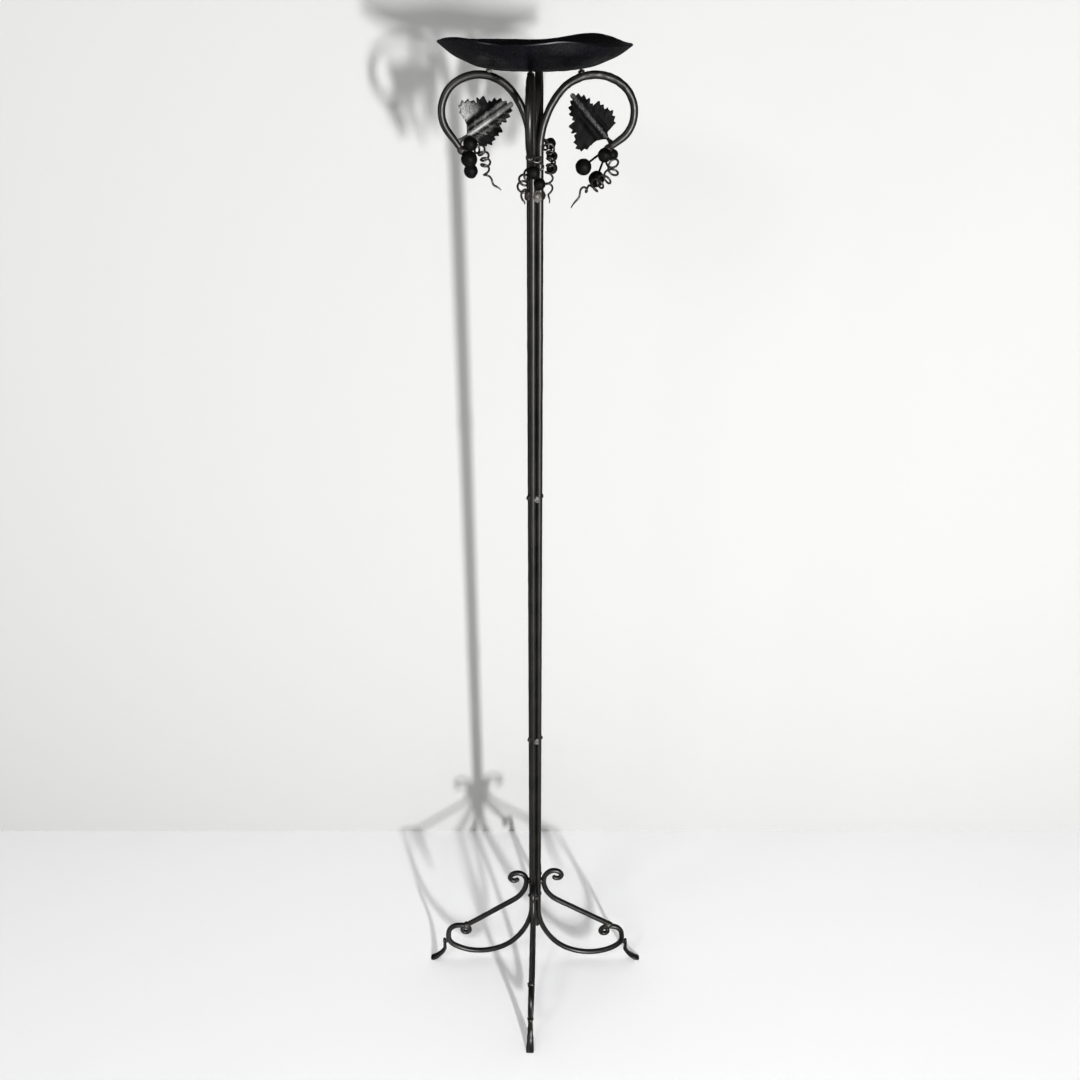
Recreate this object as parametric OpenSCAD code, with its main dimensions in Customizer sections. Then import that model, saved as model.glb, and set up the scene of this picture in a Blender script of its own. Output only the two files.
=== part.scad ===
// Torchere candle stand in forged round bar: four bars make the stem, the scrolled
// arms and the C-scroll legs; a hammered dish rests on the arms. Front is -Y.

/* [Bars] */
// Diameter of the round bar
bar_d = 8; // [6:0.5:10]
// Diameter of a bar where its forged end is drawn down
bar_tip_d = 6; // [5:0.5:6]
// Turn of the four-bar bundle against the arms
bundle_turn = 24; // [15:1:30]
// Play between pieces that are welded side by side
weld_gap = 0.1; // [0.05:0.05:0.3]

/* [Dish] */
// Height of the dish's rim above the floor
stand_h = 1342; // [1100:1:1500]
// Radius of the dish's rim
dish_r = 98.5; // [90:0.5:115]
// Depth of the dish outside, from rim to underside
dish_depth = 24; // [20:1:32]
// Radius of the dish's flat bottom, where the candle stands
dish_flat_r = 37; // [34:1:40]
// Thickness of the dish's sheet
dish_t = 2; // [1.5:0.25:3]
// Length of the tab that holds the dish off an arm
tab_l = 7; // [5:0.5:9]
// Width of that tab
tab_w = 6; // [4:0.5:7]
// Distance of the tabs from the stand's axis
tab_r = 47; // [44:1:50]

/* [Arms] */
// Radius of the first, slow bend out of the stem
arm_rise_r = 90; // [80:1:100]
// Radius of the bend over the top of the rise
arm_shoulder_r = 48; // [44:1:52]
// Radius of the bend from the arm's top to its outer side
arm_loop_r = 47; // [43:0.5:50]
// Radius of the bend down the outer side
arm_side_r = 34; // [31:0.5:36]
// Radius of the bend that brings the arm back in
arm_end_r = 29.5; // [27:0.5:32]
// Level of an arm's top below the dish's flat bottom
arm_drop = 0.2; // [-0.2:0.1:3]

/* [Legs] */
// Air under the lowest point of a leg's scroll
leg_lift = 11; // [7:1:16]
// Radius of the slow bend out of the stem
leg_rise_r = 120; // [105:1:135]
// Radius of the bend to the bottom of the scroll
leg_sole_r = 75; // [68:1:82]
// Radius of the bottom's outer stretch
leg_toe_r = 68; // [62:1:76]
// Radius of the outer side
leg_side_r = 24; // [22:1:27]
// Radius of the outer side's upper, slack stretch
leg_slack_r = 60; // [52:1:70]
// Radius of the scroll's crown
leg_crown_r = 17; // [15:1:19]
// Length of the straight bit between the crown and the curl
leg_flat_l = 5; // [3:0.5:8]
// Radius of the curl at the scroll's end
leg_curl_r = 12.5; // [11.5:0.5:13.5]
// Radius of the curl's eye
leg_eye_r = 7.2; // [6.4:0.2:7.6]

/* [Braces] */
// Slope of a brace's straight stretch above the level
brace_slope = 34; // [31:0.5:37]
// Radius of the bend that lays a brace against the stem
brace_bend_r = 52; // [48:1:60]
// Radius of the bend back out over the contact
brace_neck_r = 21; // [19:0.5:23]
// Radius of the curl at a brace's top
brace_curl_r = 12; // [11.5:0.5:14]
// Radius of the eye of that curl
brace_eye_r = 7; // [6.5:0.5:7.5]

/* [Feet] */
// Width of a foot at the floor
foot_w = 12; // [9:0.5:14]
// Width of a foot at its top
foot_top_w = 7; // [5:0.5:8]
// Thickness of a foot
foot_t = 5; // [4:0.25:6]
// How far a foot runs out past the leg's scroll
foot_reach = 22; // [18:1:30]
// Height of a foot's top above the floor
foot_h = 44; // [40:1:50]

/* [Vine] */
// Length of a leaf from its base to its tip
leaf_l = 57; // [48:1:62]
// Width of a leaf's broad side, from the midrib out
leaf_half_w = 30; // [26:0.5:33]
// Thickness of a leaf's sheet
leaf_t = 1.4; // [1:0.1:2]
// Height of a leaf's crown over its edges
leaf_crown = 6; // [2:0.5:8]
// Length of a leaf's stalk
leaf_stalk_l = 6.5; // [5:0.5:8]
// Diameter of the wire that a grape hangs on
stem_wire_d = 2.4; // [2:0.1:3]
// Diameter of a tendril's wire
tendril_d = 1.9; // [1.6:0.1:2.2]
// Radius of a tendril's first turn
tendril_r = 4.8; // [4.2:0.1:5.4]
// Radius of its last full turn
tendril_end_r = 2.4; // [1.8:0.1:3]
// Lean of a tendril's turns against its run
tendril_lean = 40; // [30:1:45]
// Diameter of the weld knob at an arm's end
knob_d = 8.4; // [7.5:0.1:9]

/* [Welds] */
// Diameter of a weld bead in a groove of the stem
bead_d = 8; // [7:0.5:9]
// Diameter of the four beads under the arms
star_d = 10; // [9:0.5:11]
// Heights of the stem's beads above the floor, as shares of the way up the straight bars
bead_low = 0.30; // [0.2:0.01:0.4]
// The same for the upper beads
bead_high = 0.64; // [0.5:0.01:0.8]
// Distance of the four beads under the arms below the straight bars' end
star_drop = 45; // [35:1:55]
// Distance of the lowest beads above the straight bars' lower end
base_rise = 27; // [18:1:40]

/* [Hidden] */
iron = "#26241f";
pewter = "#3a3a38";
weld_tone = "#55524c";

sides = 10;           // flats round a bar
bend_step = 13;       // degrees between rings in a bend
bar_r = bar_d / 2;
pitch_r = (bar_d + weld_gap) / sqrt(2);       // bar centres from the stem's axis
stem_r = pitch_r * cos(bundle_turn);          // the same, along an arm's own direction
stem_side = -pitch_r * sin(bundle_turn);      // and across it
// Hand-set differences between the front, right, rear and left stations
arm_rise_a = 37;
station_turn = [0, 2.6, 0, 2.6];              // turn of each leg and arm about its own bar
arm_k = [1, 1, 1, 0.93];                      // each arm's first three bends against the common radii
arm_end_a = [45, 45, 45, 27];                 // turn of each arm's last bend
arm_tail_l = [12, 12, 12, 18.5];              // length of each arm's straight end
leaf_lift_a = [46, 47.6, 36, 33.3];           // slope of each leaf above the level
leaf_back = [1.2, 1.2, 3.9, 3.9];             // distance of each leaf's root from its arm's end
stalk_k = [1, 1, 1.7, 1.7];                   // each stalk against the common length
face = [1, 1, -1, -1];                        // which side each cluster shows its front to
brace_more = [0, -0.4, 0, 2.4];               // each brace's slope against the common one
brace_land = [30, 0, 30, 30];                 // turn of the leg's curl at which each brace lands
brace_lift = [1, 6.2, 1, 1];                  // height of each brace's middle over its landing
brace_neck_k = [1, 1.14, 1, 0.86];            // each brace's neck against the common radius

// --- paths: a state is [out, up, heading, radius], a piece [turn radius, turn, end radius] ---
// (a piece with turn radius 0 is straight, and its turn is its length)
function at(s, p, f) =
  let (w = s[3] + f * ((len(p) > 2 ? p[2] : s[3]) - s[3]))
  p[0] == 0 ? [s[0] + f * p[1] * cos(s[2]), s[1] + f * p[1] * sin(s[2]), s[2], w]
  : let (r = sign(p[1]) * p[0], b = s[2] + f * p[1])
    [s[0] + r * (sin(b) - sin(s[2])), s[1] - r * (cos(b) - cos(s[2])), b, w];
function rings_in(p) = p[0] == 0 ? 1 : ceil(abs(p[1]) / bend_step);
function walk(s, pieces, k = 0) = k == len(pieces) ? [s]
  : concat([for (i = [0 : rings_in(pieces[k]) - 1]) at(s, pieces[k], i / rings_in(pieces[k]))],
           walk(at(s, pieces[k], 1), pieces, k + 1));
function after(s, pieces, k = 0) =
  k == len(pieces) ? s : after(at(s, pieces[k], 1), pieces, k + 1);
function back(path) =
  [for (i = [len(path) - 1 : -1 : 0]) [path[i][0], path[i][1], path[i][2] + 180, path[i][3]]];
function first(list, n) = [for (i = [0 : n - 1]) list[i]];

// --- skins: rings of points closed at both ends ---
module skin(rings) {
  n = len(rings[0]);
  last = (len(rings) - 1) * n;
  polyhedron(points = [for (r = rings) each r],
    faces = concat([[for (j = [0 : n - 1]) (n - j) % n]],
      [for (i = [0 : len(rings) - 2]) for (j = [0 : n - 1]) for (t = [0, 1])
        let (a = i * n + j, b = i * n + (j + 1) % n) t == 0 ? [a, b, a + n] : [b, b + n, a + n]],
      [[for (j = [0 : n - 1]) last + j]]));
}
// Ring round a state of a flat path: half thickness h across the bend, half width w beside it
function ring(s, h, w, n = sides) = [for (j = [0 : n - 1]) let (a = 360 * (j + 0.5) / n)
  [s[0] - h * cos(a) * sin(s[2]), w * sin(a), s[1] + h * cos(a) * cos(s[2])]];
function round_tip(s) = // two smaller rings that round a forged end off
  let (u = s[3]) [ring(at(s, [0, u * 0.6], 1), u * 0.8, u * 0.8),
                  ring(at(s, [0, u * 0.95], 1), u * 0.35, u * 0.35)];
module tube(path, grow = 0) skin([for (s = path) ring(s, s[3] + grow, s[3] + grow)]);
module station(i) rotate(i * 90 - 90) translate([stem_r, stem_side, 0]) rotate(station_turn[i])
  translate([-stem_r, 0, 0]) children();
module lump(d) skin([for (a = [-66 : 33 : 66]) // a weld bead as a small faceted ball
  [for (j = [0 : 7]) let (b = 45 * j + 22.5) d / 2 * [-cos(a) * cos(b), cos(a) * sin(b), sin(a)]]]);

// --- the bar: leg scroll, stem and arm in one ---
dish_under = stand_h - dish_depth;
arm_top = dish_under - arm_drop - bar_r;
function arm_pieces(i) = [[arm_rise_r * arm_k[i], -arm_rise_a], [arm_shoulder_r * arm_k[i], arm_rise_a - 90],
  [arm_loop_r * arm_k[i], -35], [arm_side_r, -65], [arm_end_r, -arm_end_a[i]],
  [0, arm_tail_l[i], bar_tip_d / 2]];
function arm_start(i) = let (k = arm_k[i] * sin(arm_rise_a)) [stem_r,
  arm_top - arm_rise_r * k - arm_shoulder_r * (arm_k[i] - k), 90, bar_r];
leg_curl_a = 70;      // turn of the leg's curl before its eye
leg_pieces = [[leg_rise_r, 38], [leg_sole_r, 52], [leg_toe_r, 37], [leg_side_r, 53], [leg_slack_r, 12],
              [leg_crown_r, 78], [0, leg_flat_l], [leg_curl_r, leg_curl_a, bar_r * 0.8],
              [leg_eye_r, 215, bar_tip_d / 2]];
leg_start = [stem_r, leg_lift + bar_r + leg_rise_r * sin(38) + leg_sole_r * (1 - sin(38)),
             -90, bar_r];
stem_low = leg_start[1];
stem_high = arm_start(0)[1];
function arm_end(i) = after(arm_start(i), arm_pieces(i));
module bar(i) color(iron) {
  leg = walk(leg_start, leg_pieces);
  low = back(leg);
  skin(concat([for (r = [1, 0]) round_tip(leg[len(leg) - 1])[r]],
              [for (s = low) ring([s[0], s[1], s[2], s[3]], s[3], s[3])],
              [for (s = walk(arm_start(i), arm_pieces(i))) ring(s, s[3], s[3])]));
}

// --- the brace: from the leg's crown or curl up to the stem and out again in a curl ---
crown_start = after(leg_start, first(leg_pieces, 5));
curl_start = after(leg_start, first(leg_pieces, 7));
brace_r = stem_r + bar_d + weld_gap;
function slope(i) = brace_slope + brace_more[i];
function landing(i) = at(curl_start, leg_pieces[7], brace_land[i] / leg_curl_a);
function brace_foot(i) = // the brace starts inside the leg's bar, whose outline cuts it off
  at([landing(i)[0], landing(i)[1] + brace_lift[i], 180 - slope(i), bar_r], [0, -1.3 * brace_lift[i]], 1);
function brace_run(i) =
  (brace_foot(i)[0] - brace_r - brace_bend_r * (1 - sin(slope(i)))) / cos(slope(i));
function brace_z(i) = brace_foot(i)[1] + brace_run(i) * sin(slope(i)) + brace_bend_r * cos(slope(i));
function brace_pieces(i) = [[0, brace_run(i)], [brace_bend_r, slope(i) - 90],
  [brace_neck_r * brace_neck_k[i], -50], [brace_curl_r, -105, bar_r * 0.8],
  [brace_eye_r, -155, bar_tip_d / 2]];
module scroll_top(grow) tube(walk(crown_start, [for (k = [5, 6, 7]) leg_pieces[k]]), grow);
module brace(i) color(iron) difference() {
  path = walk(brace_foot(i), brace_pieces(i));
  skin(concat([for (s = path) ring(s, s[3], s[3])], round_tip(path[len(path) - 1])));
  scroll_top(weld_gap);
}

// --- the foot: an S of flattened bar on the outer side of the scroll ---
leg_out = after(leg_start, first(leg_pieces, 4));       // the scroll's outermost state
foot_x = leg_out[0] + bar_r + weld_gap + foot_t / 2;
foot_path = [[foot_x, foot_h, -90], [foot_x, foot_h * 0.9, -90], [foot_x, foot_h * 0.68, -91],
             [foot_x, foot_h * 0.5, -80], [foot_x + foot_reach * 0.19, foot_h * 0.32, -58],
             [foot_x + foot_reach * 0.52, foot_h * 0.13, -45], [foot_x + foot_reach, -2, -36]];
module foot() color(iron) difference() {
  n = len(foot_path) - 1;
  skin([for (i = [0 : n]) let (f = i / n)
    ring(foot_path[i], foot_t / 2 * (i == 0 ? 0.6 : 1) * 1.08,
         (foot_top_w + (foot_w - foot_top_w) * pow(f, 1.5)) / 2 * (i == 0 ? 0.6 : 1) * 1.08, 8)]);
  translate([foot_x - 20, -20, -10]) cube([80, 40, 10]);
}

// --- the dish: hammered sheet with a hand-waved rim ---
dish_seg = 48;
function bump(a, mid, half) = let (d = abs((a - mid + 540) % 360 - 180))
  d < half ? pow(cos(90 * d / half), 2) : 0;
// Rise of the rim at azimuth a, counted from the front toward the right
function rim_wave(a) = 4 * bump(a, -49, 34) + 3.5 * bump(a, 19, 26) + 7.5 * bump(a, 142, 40) - 1.6 * sin(a);
// Underside as [radius share, height share] from the flat to the rim
dish_profile = [[0.18, 0.06], [0.38, 0.16], [0.58, 0.36], [0.77, 0.58], [1, 1]];
function dish_level(f, a) = let (r = dish_flat_r + f[0] * (dish_r - dish_flat_r))
  [r * sin(a), -r * cos(a), dish_under + f[1] * (dish_depth + rim_wave(a) * pow(f[0], 3))];
module dish() color(pewter) {
  angles = [for (k = [dish_seg : -1 : 1]) 360 * k / dish_seg];
  outer = [for (f = concat([[0, 0]], dish_profile)) [for (a = angles) dish_level(f, a)]];
  lift = [0, 0, dish_t];
  inner = [for (i = [len(outer) - 1 : -1 : 0])
    [for (p = outer[i]) p * (1 - dish_t * 0.35 / dish_r) + [0, 0, p[2] * dish_t * 0.35 / dish_r] + lift]];
  skin(concat(outer, inner));
}

// --- tabs that the dish stands on, one on each arm ---
function arm_height(i, out) = // top of the arm's bar at this distance from the axis
  let (c = after(arm_start(i), [arm_pieces(i)[0]]), r = arm_pieces(i)[1][0],
       mid = [c[0] + r * sin(c[2]), c[1] - r * cos(c[2])])
  mid[1] + sqrt(pow(r + bar_r, 2) - pow(mid[0] - out, 2));
function dish_height(out) = // underside of the dish here, along its profile
  let (f = (out - dish_flat_r) / (dish_r - dish_flat_r)) dish_under
  + dish_depth * (f < 0.18 ? f / 0.18 * 0.06 : 0.06 + (f - 0.18) / 0.2 * 0.1);
module dish_tabs() color(iron) for (i = [0 : 3]) station(i) difference() {
  low = arm_height(i, tab_r) - bar_r;
  translate([tab_r - tab_l / 2, -tab_w / 2, low])
    cube([tab_l, tab_w, dish_height(tab_r - tab_l / 2) - weld_gap - low]);
  tube(walk(arm_start(i), first(arm_pieces(i), 2)), weld_gap);
}

// --- the vine: leaf, grapes and tendril on a knob at each arm's end ---
function knob(i) = at(arm_end(i), [0, knob_d / 2 + weld_gap], 1);
module at_knob(i) translate([knob(i)[0], 0, knob(i)[1]]) mirror([0, face[i] > 0 ? 0 : 1, 0]) children();
// A leaf's stalk is welded to the inner side of the arm, a little before its end
function leaf_root(i) = let (s = at(arm_end(i), [0, -leaf_back[i]], 1), r = s[3] + 0.6)
  [s[0] + r * sin(s[2]), s[1] - r * cos(s[2])];
// Outline of a leaf's broad and narrow sides as shares of its length and broad width
leaf_edge = [[[0.00, 0.08], [0.02, 0.13], [0.08, 0.31], [0.10, 0.60], [0.11, 0.82], [0.18, 1.0],
   [0.26, 0.99], [0.36, 0.90], [0.43, 0.72], [0.50, 0.78], [0.60, 0.70], [0.565, 0.48],
   [0.725, 0.47], [0.825, 0.35], [0.90, 0.13]],
  [[0.00, 0.07], [0.06, 0.13], [0.07, 0.32], [0.08, 0.52], [0.19, 0.63], [0.25, 0.68],
   [0.30, 0.69], [0.345, 0.62], [0.39, 0.59], [0.43, 0.56], [0.555, 0.56], [0.535, 0.27],
   [0.695, 0.355], [0.80, 0.29], [0.875, 0.20]]];
leaf_steps = len(leaf_edge[0]);
across = [0.08, 0.45, 1];          // stations from the midrib to the edge
// Height of a leaf's sheet: a crown that the broad side falls from into a fold
function leaf_up(u, v) = let (q = abs(v) / leaf_half_w)
  leaf_crown * (v < 0 ? 1 - 2.1 * q + 1.5 * q * q : 1 - q * q) * min(1, 0.35 + u / leaf_l)
  - leaf_crown * 0.6 * pow(max(0, u) / leaf_l, 3);
// One cross-section of a leaf, from its broad side over the raised midrib to its narrow side
function leaf_row(k) = let (m = leaf_l * pow(k / leaf_steps, 1.25) * 0.96)
  [for (t = [-1, -across[1], -across[0], 0, across[0], across[1], 1])
    let (e = leaf_edge[t < 0 ? 0 : 1][k], q = abs(t), u = m + q * (e[0] * leaf_l - m),
         v = t * e[1] * leaf_half_w)
    [u, v, leaf_up(u, v) + (t == 0 ? 1.5 * (1 - k / leaf_steps) : 0)]];
function leaf_under(r, flat) = [for (j = [len(r) - 1 : -1 : 0])
  [r[j][0], r[j][1], (flat ? r[0][2] : r[j][2]) - leaf_t]];
// The right side shows its broad side below and the left side above
module leaf(i) color(pewter) {
  stalk_l = leaf_stalk_l * stalk_k[i];
  stalk = [for (x = [-1, -0.5]) let (w = x == -1 ? 1.4 : 1.6)
    [for (t = [-1, -0.7, -0.35, 0, 0.35, 0.7, 1])
      [x * stalk_l, t * w, leaf_up(0, 0) * (1 + x) + 0.9 * (1 - t * t)]]];
  tip = [for (t = [-1, -0.7, -0.35, 0, 0.35, 0.7, 1])
    [leaf_l, t * 0.8, leaf_up(leaf_l, 0) + 0.3 * (1 - t * t)]];
  top = concat(stalk, [for (k = [0 : leaf_steps - 1]) leaf_row(k)], [tip]);
  translate([leaf_root(i)[0], 0, leaf_root(i)[1]]) rotate([90, 0, 0])
    rotate([0, 0, 180 - leaf_lift_a[i]]) mirror([0, face[i] > 0 ? 1 : 0, 0])
    mirror([0, 0, face[i] > 0 ? 0 : 1]) translate([stalk_l, 0, 0])
    skin([for (k = [0 : len(top) - 1]) concat(top[k], leaf_under(top[k], k == 0 || k == len(top) - 1))]);
}

// Grapes of each station as [out, across, up, diameter], counted from the knob. One with a
// fifth value hangs from the grape of that number, the others from the knob
grapes_of = [
  [[-1, 3.3, -14, 12.6], [-9, 9, -26, 12]],
  [[-4.4, -12.5, -5, 14.6], [5.3, 7, -6.8, 12], [-25.8, -2, -17.9, 17], [-11, 7, -31.4, 17]],
  [[0, 12.5, -3.5, 12.6], [-3, 14.5, -16.5, 12.4, 0], [-4, 14.5, -29.3, 12.6, 1]],
  [[-9.7, -10, 7.5, 14], [-7.8, -4.5, -8.5, 16.4], [-8.5, 12, -22.5, 14.2]]];
// A grape and its wire, which starts at a point and leaves out its first stretch
module grape(g, start, skip) {
  v = [g[0], g[1], g[2]] - start;
  l = norm(v);
  translate(start) rotate([0, acos(v[2] / l), atan2(v[1], v[0])]) {
    translate([0, 0, skip]) cylinder(d = stem_wire_d, h = l - skip, $fn = 24);
    translate([0, 0, l]) rotate([90, 0, 0]) sphere(d = g[3], $fn = 32);
  }
}
module grapes(i) color(pewter) at_knob(i) for (g = grapes_of[i])
  if (len(g) == 5) grape(g, first(grapes_of[i][g[4]], 3), 0);
  else grape(g, [0, 0, 0], knob_d / 2 + weld_gap);

// Tendril: a wire that coils round a bent route and runs out straight. Each route has one
// point a turn as [out, across, up] from the knob
route = [[[-4.6, 1, -1], [-9, 7, -4], [-13, 8, -9], [-14, 2, -14.5], [-12, -5, -19], [-9, -8, -25],
          [-7, -8, -32], [-6, -6, -45]],
         [[0, -1, -4.8], [3, -4, -11.5], [6, -9, -17.5], [2, -12, -25], [-5.5, -13, -30.5],
          [-12, -13, -34], [-18.5, -11, -39.5], [-26, -9, -40], [-38.5, -6, -59]],
         [[-4.8, 1, 0], [-12, 5, -2], [-17, 12, -7], [-18, 14, -14], [-18, 13.5, -21],
          [-18, 13.5, -28], [-18, 11, -38], [-18, 12.5, -49], [-18, 12, -65]],
         [[-4.7, 1, 0], [-13, 4, 1.5], [-19.5, 3, 0], [-23.5, 3, -6], [-25, 3, -12.5], [-24.5, 3, -19.5],
          [-28.5, 3, -29.5], [-41, 3, -41]]];
function turns(i) = len(route[i]) - 1;
function run(i, t) = // the route's curve through its points, t counted in turns
  let (j = max(0, min(turns(i) - 1, floor(t))), f = t - j, n = turns(i), b = route[i][j],
       c = route[i][j + 1], a = j > 0 ? route[i][j - 1] : 2 * b - c,
       d = j < n - 1 ? route[i][j + 2] : 2 * c - b)
  b + f * (c - a) / 2 + f * f * (a - 2.5 * b + 2 * c - d / 2) + f * f * f * (-a + 3 * b - 3 * c + d) / 2;
function unit(v) = v / norm(v);
function spoke(i, k) = // from the route toward ring k, in the leaning plane of its turn
  let (t = k / 8, a = 360 * t, u = unit(run(i, t + 0.1) - run(i, t - 0.1)),
       n = unit(cross(i % 2 == 0 ? [1, 0, 0] : [0, 1, 0], u)))
  cos(a) * n + sin(a) * (cos(tendril_lean) * cross(u, n) + sin(tendril_lean) * u);
function reach(i, k) = let (left = turns(i) - k / 8) // a turn's radius: it grows, holds and fades
  min(1, k / 9) * (left < 1.5 ? tendril_end_r * left / 1.5
  : left < 3 ? tendril_end_r + (tendril_r - tendril_end_r) * (left - 1.5) / 1.5 : tendril_r);
function helix(i, k) = run(i, k / 8) + reach(i, k) * spoke(i, k);
function wire_ring(i, k, d) = let (u = unit(helix(i, k + 0.5) - helix(i, k - 0.5)),
  b = unit(cross(u, spoke(i, k))), e = cross(b, u))
  [for (j = [0 : 5]) helix(i, k) + d / 2 * (cos(60 * j) * e + sin(60 * j) * b)];
least_gap = min([for (i = [0 : 3]) for (k = [0 : 8 * turns(i)])
  for (m = [k + 5 : 1 : 8 * turns(i)]) norm(helix(i, k) - helix(i, m))]) - tendril_d;
echo(least_gap_between_tendril_turns = least_gap);
module tendril(i) color(iron) at_knob(i) skin([for (k = [0 : 8 * turns(i)])
  wire_ring(i, k, tendril_d * (k == 8 * turns(i) ? 0.6 : 1))]);

module arm_knobs() color(weld_tone) for (i = [0 : 3])
  station(i) at_knob(i) sphere(d = knob_d, $fn = 32);

// --- weld beads ---
// A bead in the groove between two neighbouring bars of the stem
module bead(i, z, d = bead_d) rotate(i * 90 - 45 - bundle_turn) difference() {
  translate([pitch_r * 0.5 + bar_r, 0, z]) sphere(d = d, $fn = 32);
  for (s = [-1, 1]) rotate(45 * s) translate([pitch_r, 0, z - d])
    cylinder(d = bar_d + weld_gap, h = 2 * d, $fn = 48);
  translate([0, 0, z - d]) cylinder(r = pitch_r * 0.72, h = 2 * d, $fn = 48);
}
straight = stem_high - stem_low;
module star_welds() color(weld_tone) for (i = [0 : 3]) bead(i, stem_high - star_drop, star_d);
module upper_welds() color(weld_tone) for (i = [0 : 3]) bead(i, stem_low + bead_high * straight);
module lower_welds() color(weld_tone) for (i = [0 : 3]) bead(i, stem_low + bead_low * straight);
module base_welds() color(weld_tone) for (i = [0 : 3]) bead(i, stem_low + base_rise);

// The weld between a brace and its bar, on both sides of their contact
module brace_welds() color(weld_tone) for (i = [0 : 3]) station(i) difference() {
  translate([(stem_r + brace_r) / 2, 0, brace_z(i)]) sphere(d = bead_d + 1, $fn = 32);
  translate([stem_r, 0, brace_z(i) - bead_d]) cylinder(d = bar_d + weld_gap, h = 2 * bead_d, $fn = 48);
  tube(walk([brace_r + brace_bend_r * (1 - cos(15)), brace_z(i) - brace_bend_r * sin(15), 105, bar_r],
            [[brace_bend_r, -15], [brace_neck_r * brace_neck_k[i], -20]]), weld_gap);
}
// The weld where a brace lands on the leg's crown or curl
module scroll_welds() color(weld_tone) for (i = [0 : 3]) station(i) difference() {
  translate([landing(i)[0] - 1, 0, landing(i)[1] + 1 + brace_lift[i] * 0.6]) lump(bar_d * 1.5);
  scroll_top(weld_gap);
  tube([brace_foot(i), at(brace_foot(i), [0, 4 * bar_d], 1)], weld_gap);
}
// The weld behind a foot's top
module foot_welds() color(weld_tone) for (i = [0 : 3]) station(i) difference() {
  translate([leg_out[0] + bar_r, 0, leg_out[1] - foot_top_w]) lump(foot_top_w + 3.5);
  tube(walk(after(leg_start, first(leg_pieces, 2)), [leg_pieces[2], leg_pieces[3], leg_pieces[4]]),
       weld_gap);
  translate([foot_x - foot_t * 0.54 - weld_gap, -foot_w, leg_out[1] - 4 * bar_d])
    cube([2 * bar_d, 2 * foot_w, 6 * bar_d]);
}

station(0) bar(0);  // bar_front
station(1) bar(1);  // bar_right
station(2) bar(2);  // bar_rear
station(3) bar(3);  // bar_left
station(0) brace(0);  // brace_front
station(1) brace(1);  // brace_right
station(2) brace(2);  // brace_rear
station(3) brace(3);  // brace_left
station(0) foot();  // foot_front
station(1) foot();  // foot_right
station(2) foot();  // foot_rear
station(3) foot();  // foot_left
dish();
dish_tabs();
station(0) leaf(0);  // leaf_front
station(1) leaf(1);  // leaf_right
station(2) leaf(2);  // leaf_rear
station(3) leaf(3);  // leaf_left
station(0) grapes(0);  // grapes_front
station(1) grapes(1);  // grapes_right
station(2) grapes(2);  // grapes_rear
station(3) grapes(3);  // grapes_left
station(0) tendril(0);  // tendril_front
station(1) tendril(1);  // tendril_right
station(2) tendril(2);  // tendril_rear
station(3) tendril(3);  // tendril_left
arm_knobs();
star_welds();
upper_welds();
lower_welds();
base_welds();
brace_welds();
scroll_welds();
foot_welds();
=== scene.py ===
"""Looks of a torchere candle stand in forged round bar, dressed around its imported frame.

Lengths are in millimetres, as on a smith's drawing, and become metres where a mesh is made.
The front is -Y, the right is +X and the floor is z = 0.
"""
import logging
import math
from collections.abc import Sequence
from dataclasses import dataclass, field
from enum import Enum

import bpy
import numpy as np
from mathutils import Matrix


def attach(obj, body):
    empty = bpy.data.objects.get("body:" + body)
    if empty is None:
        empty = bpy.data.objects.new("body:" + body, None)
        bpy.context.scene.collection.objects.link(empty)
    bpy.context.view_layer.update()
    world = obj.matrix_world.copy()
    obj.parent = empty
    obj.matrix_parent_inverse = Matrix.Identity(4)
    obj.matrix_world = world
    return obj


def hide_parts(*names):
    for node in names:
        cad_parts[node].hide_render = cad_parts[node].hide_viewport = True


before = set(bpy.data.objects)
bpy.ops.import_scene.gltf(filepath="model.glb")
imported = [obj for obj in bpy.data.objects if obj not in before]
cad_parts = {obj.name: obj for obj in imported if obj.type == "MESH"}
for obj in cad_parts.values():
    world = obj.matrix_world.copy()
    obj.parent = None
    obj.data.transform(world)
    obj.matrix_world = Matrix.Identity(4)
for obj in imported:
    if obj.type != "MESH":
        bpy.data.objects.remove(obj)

log = logging.getLogger("candle_stand")
MM = 0.001
WAVE_PEAK = 1.6                 # how far a sum of waves reaches past its usual height
END_RINGS = (25, 50, 70, 84)    # degrees round the quarter circle of a rounded end
SMOOTH_BELOW = 40               # degrees between two faces that are shaded as one surface
Array = np.ndarray


# --- places and paths ---------------------------------------------------------------------


class Station(Enum):
    """The quarter turns at which the stand's legs and arms lie."""

    FRONT = 0
    RIGHT = 1
    REAR = 2
    LEFT = 3

    @property
    def word(self) -> str:
        """The station's name as the nodes have it."""
        return self.name.lower()


@dataclass(frozen=True)
class Bend:
    """One stroke of a bar's flat path: an arc, or a straight run where the radius is 0."""

    radius: float
    turn: float                 # degrees, or the length of a straight run
    half: float | None = None   # half thickness at the stroke's end, where it changes


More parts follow.
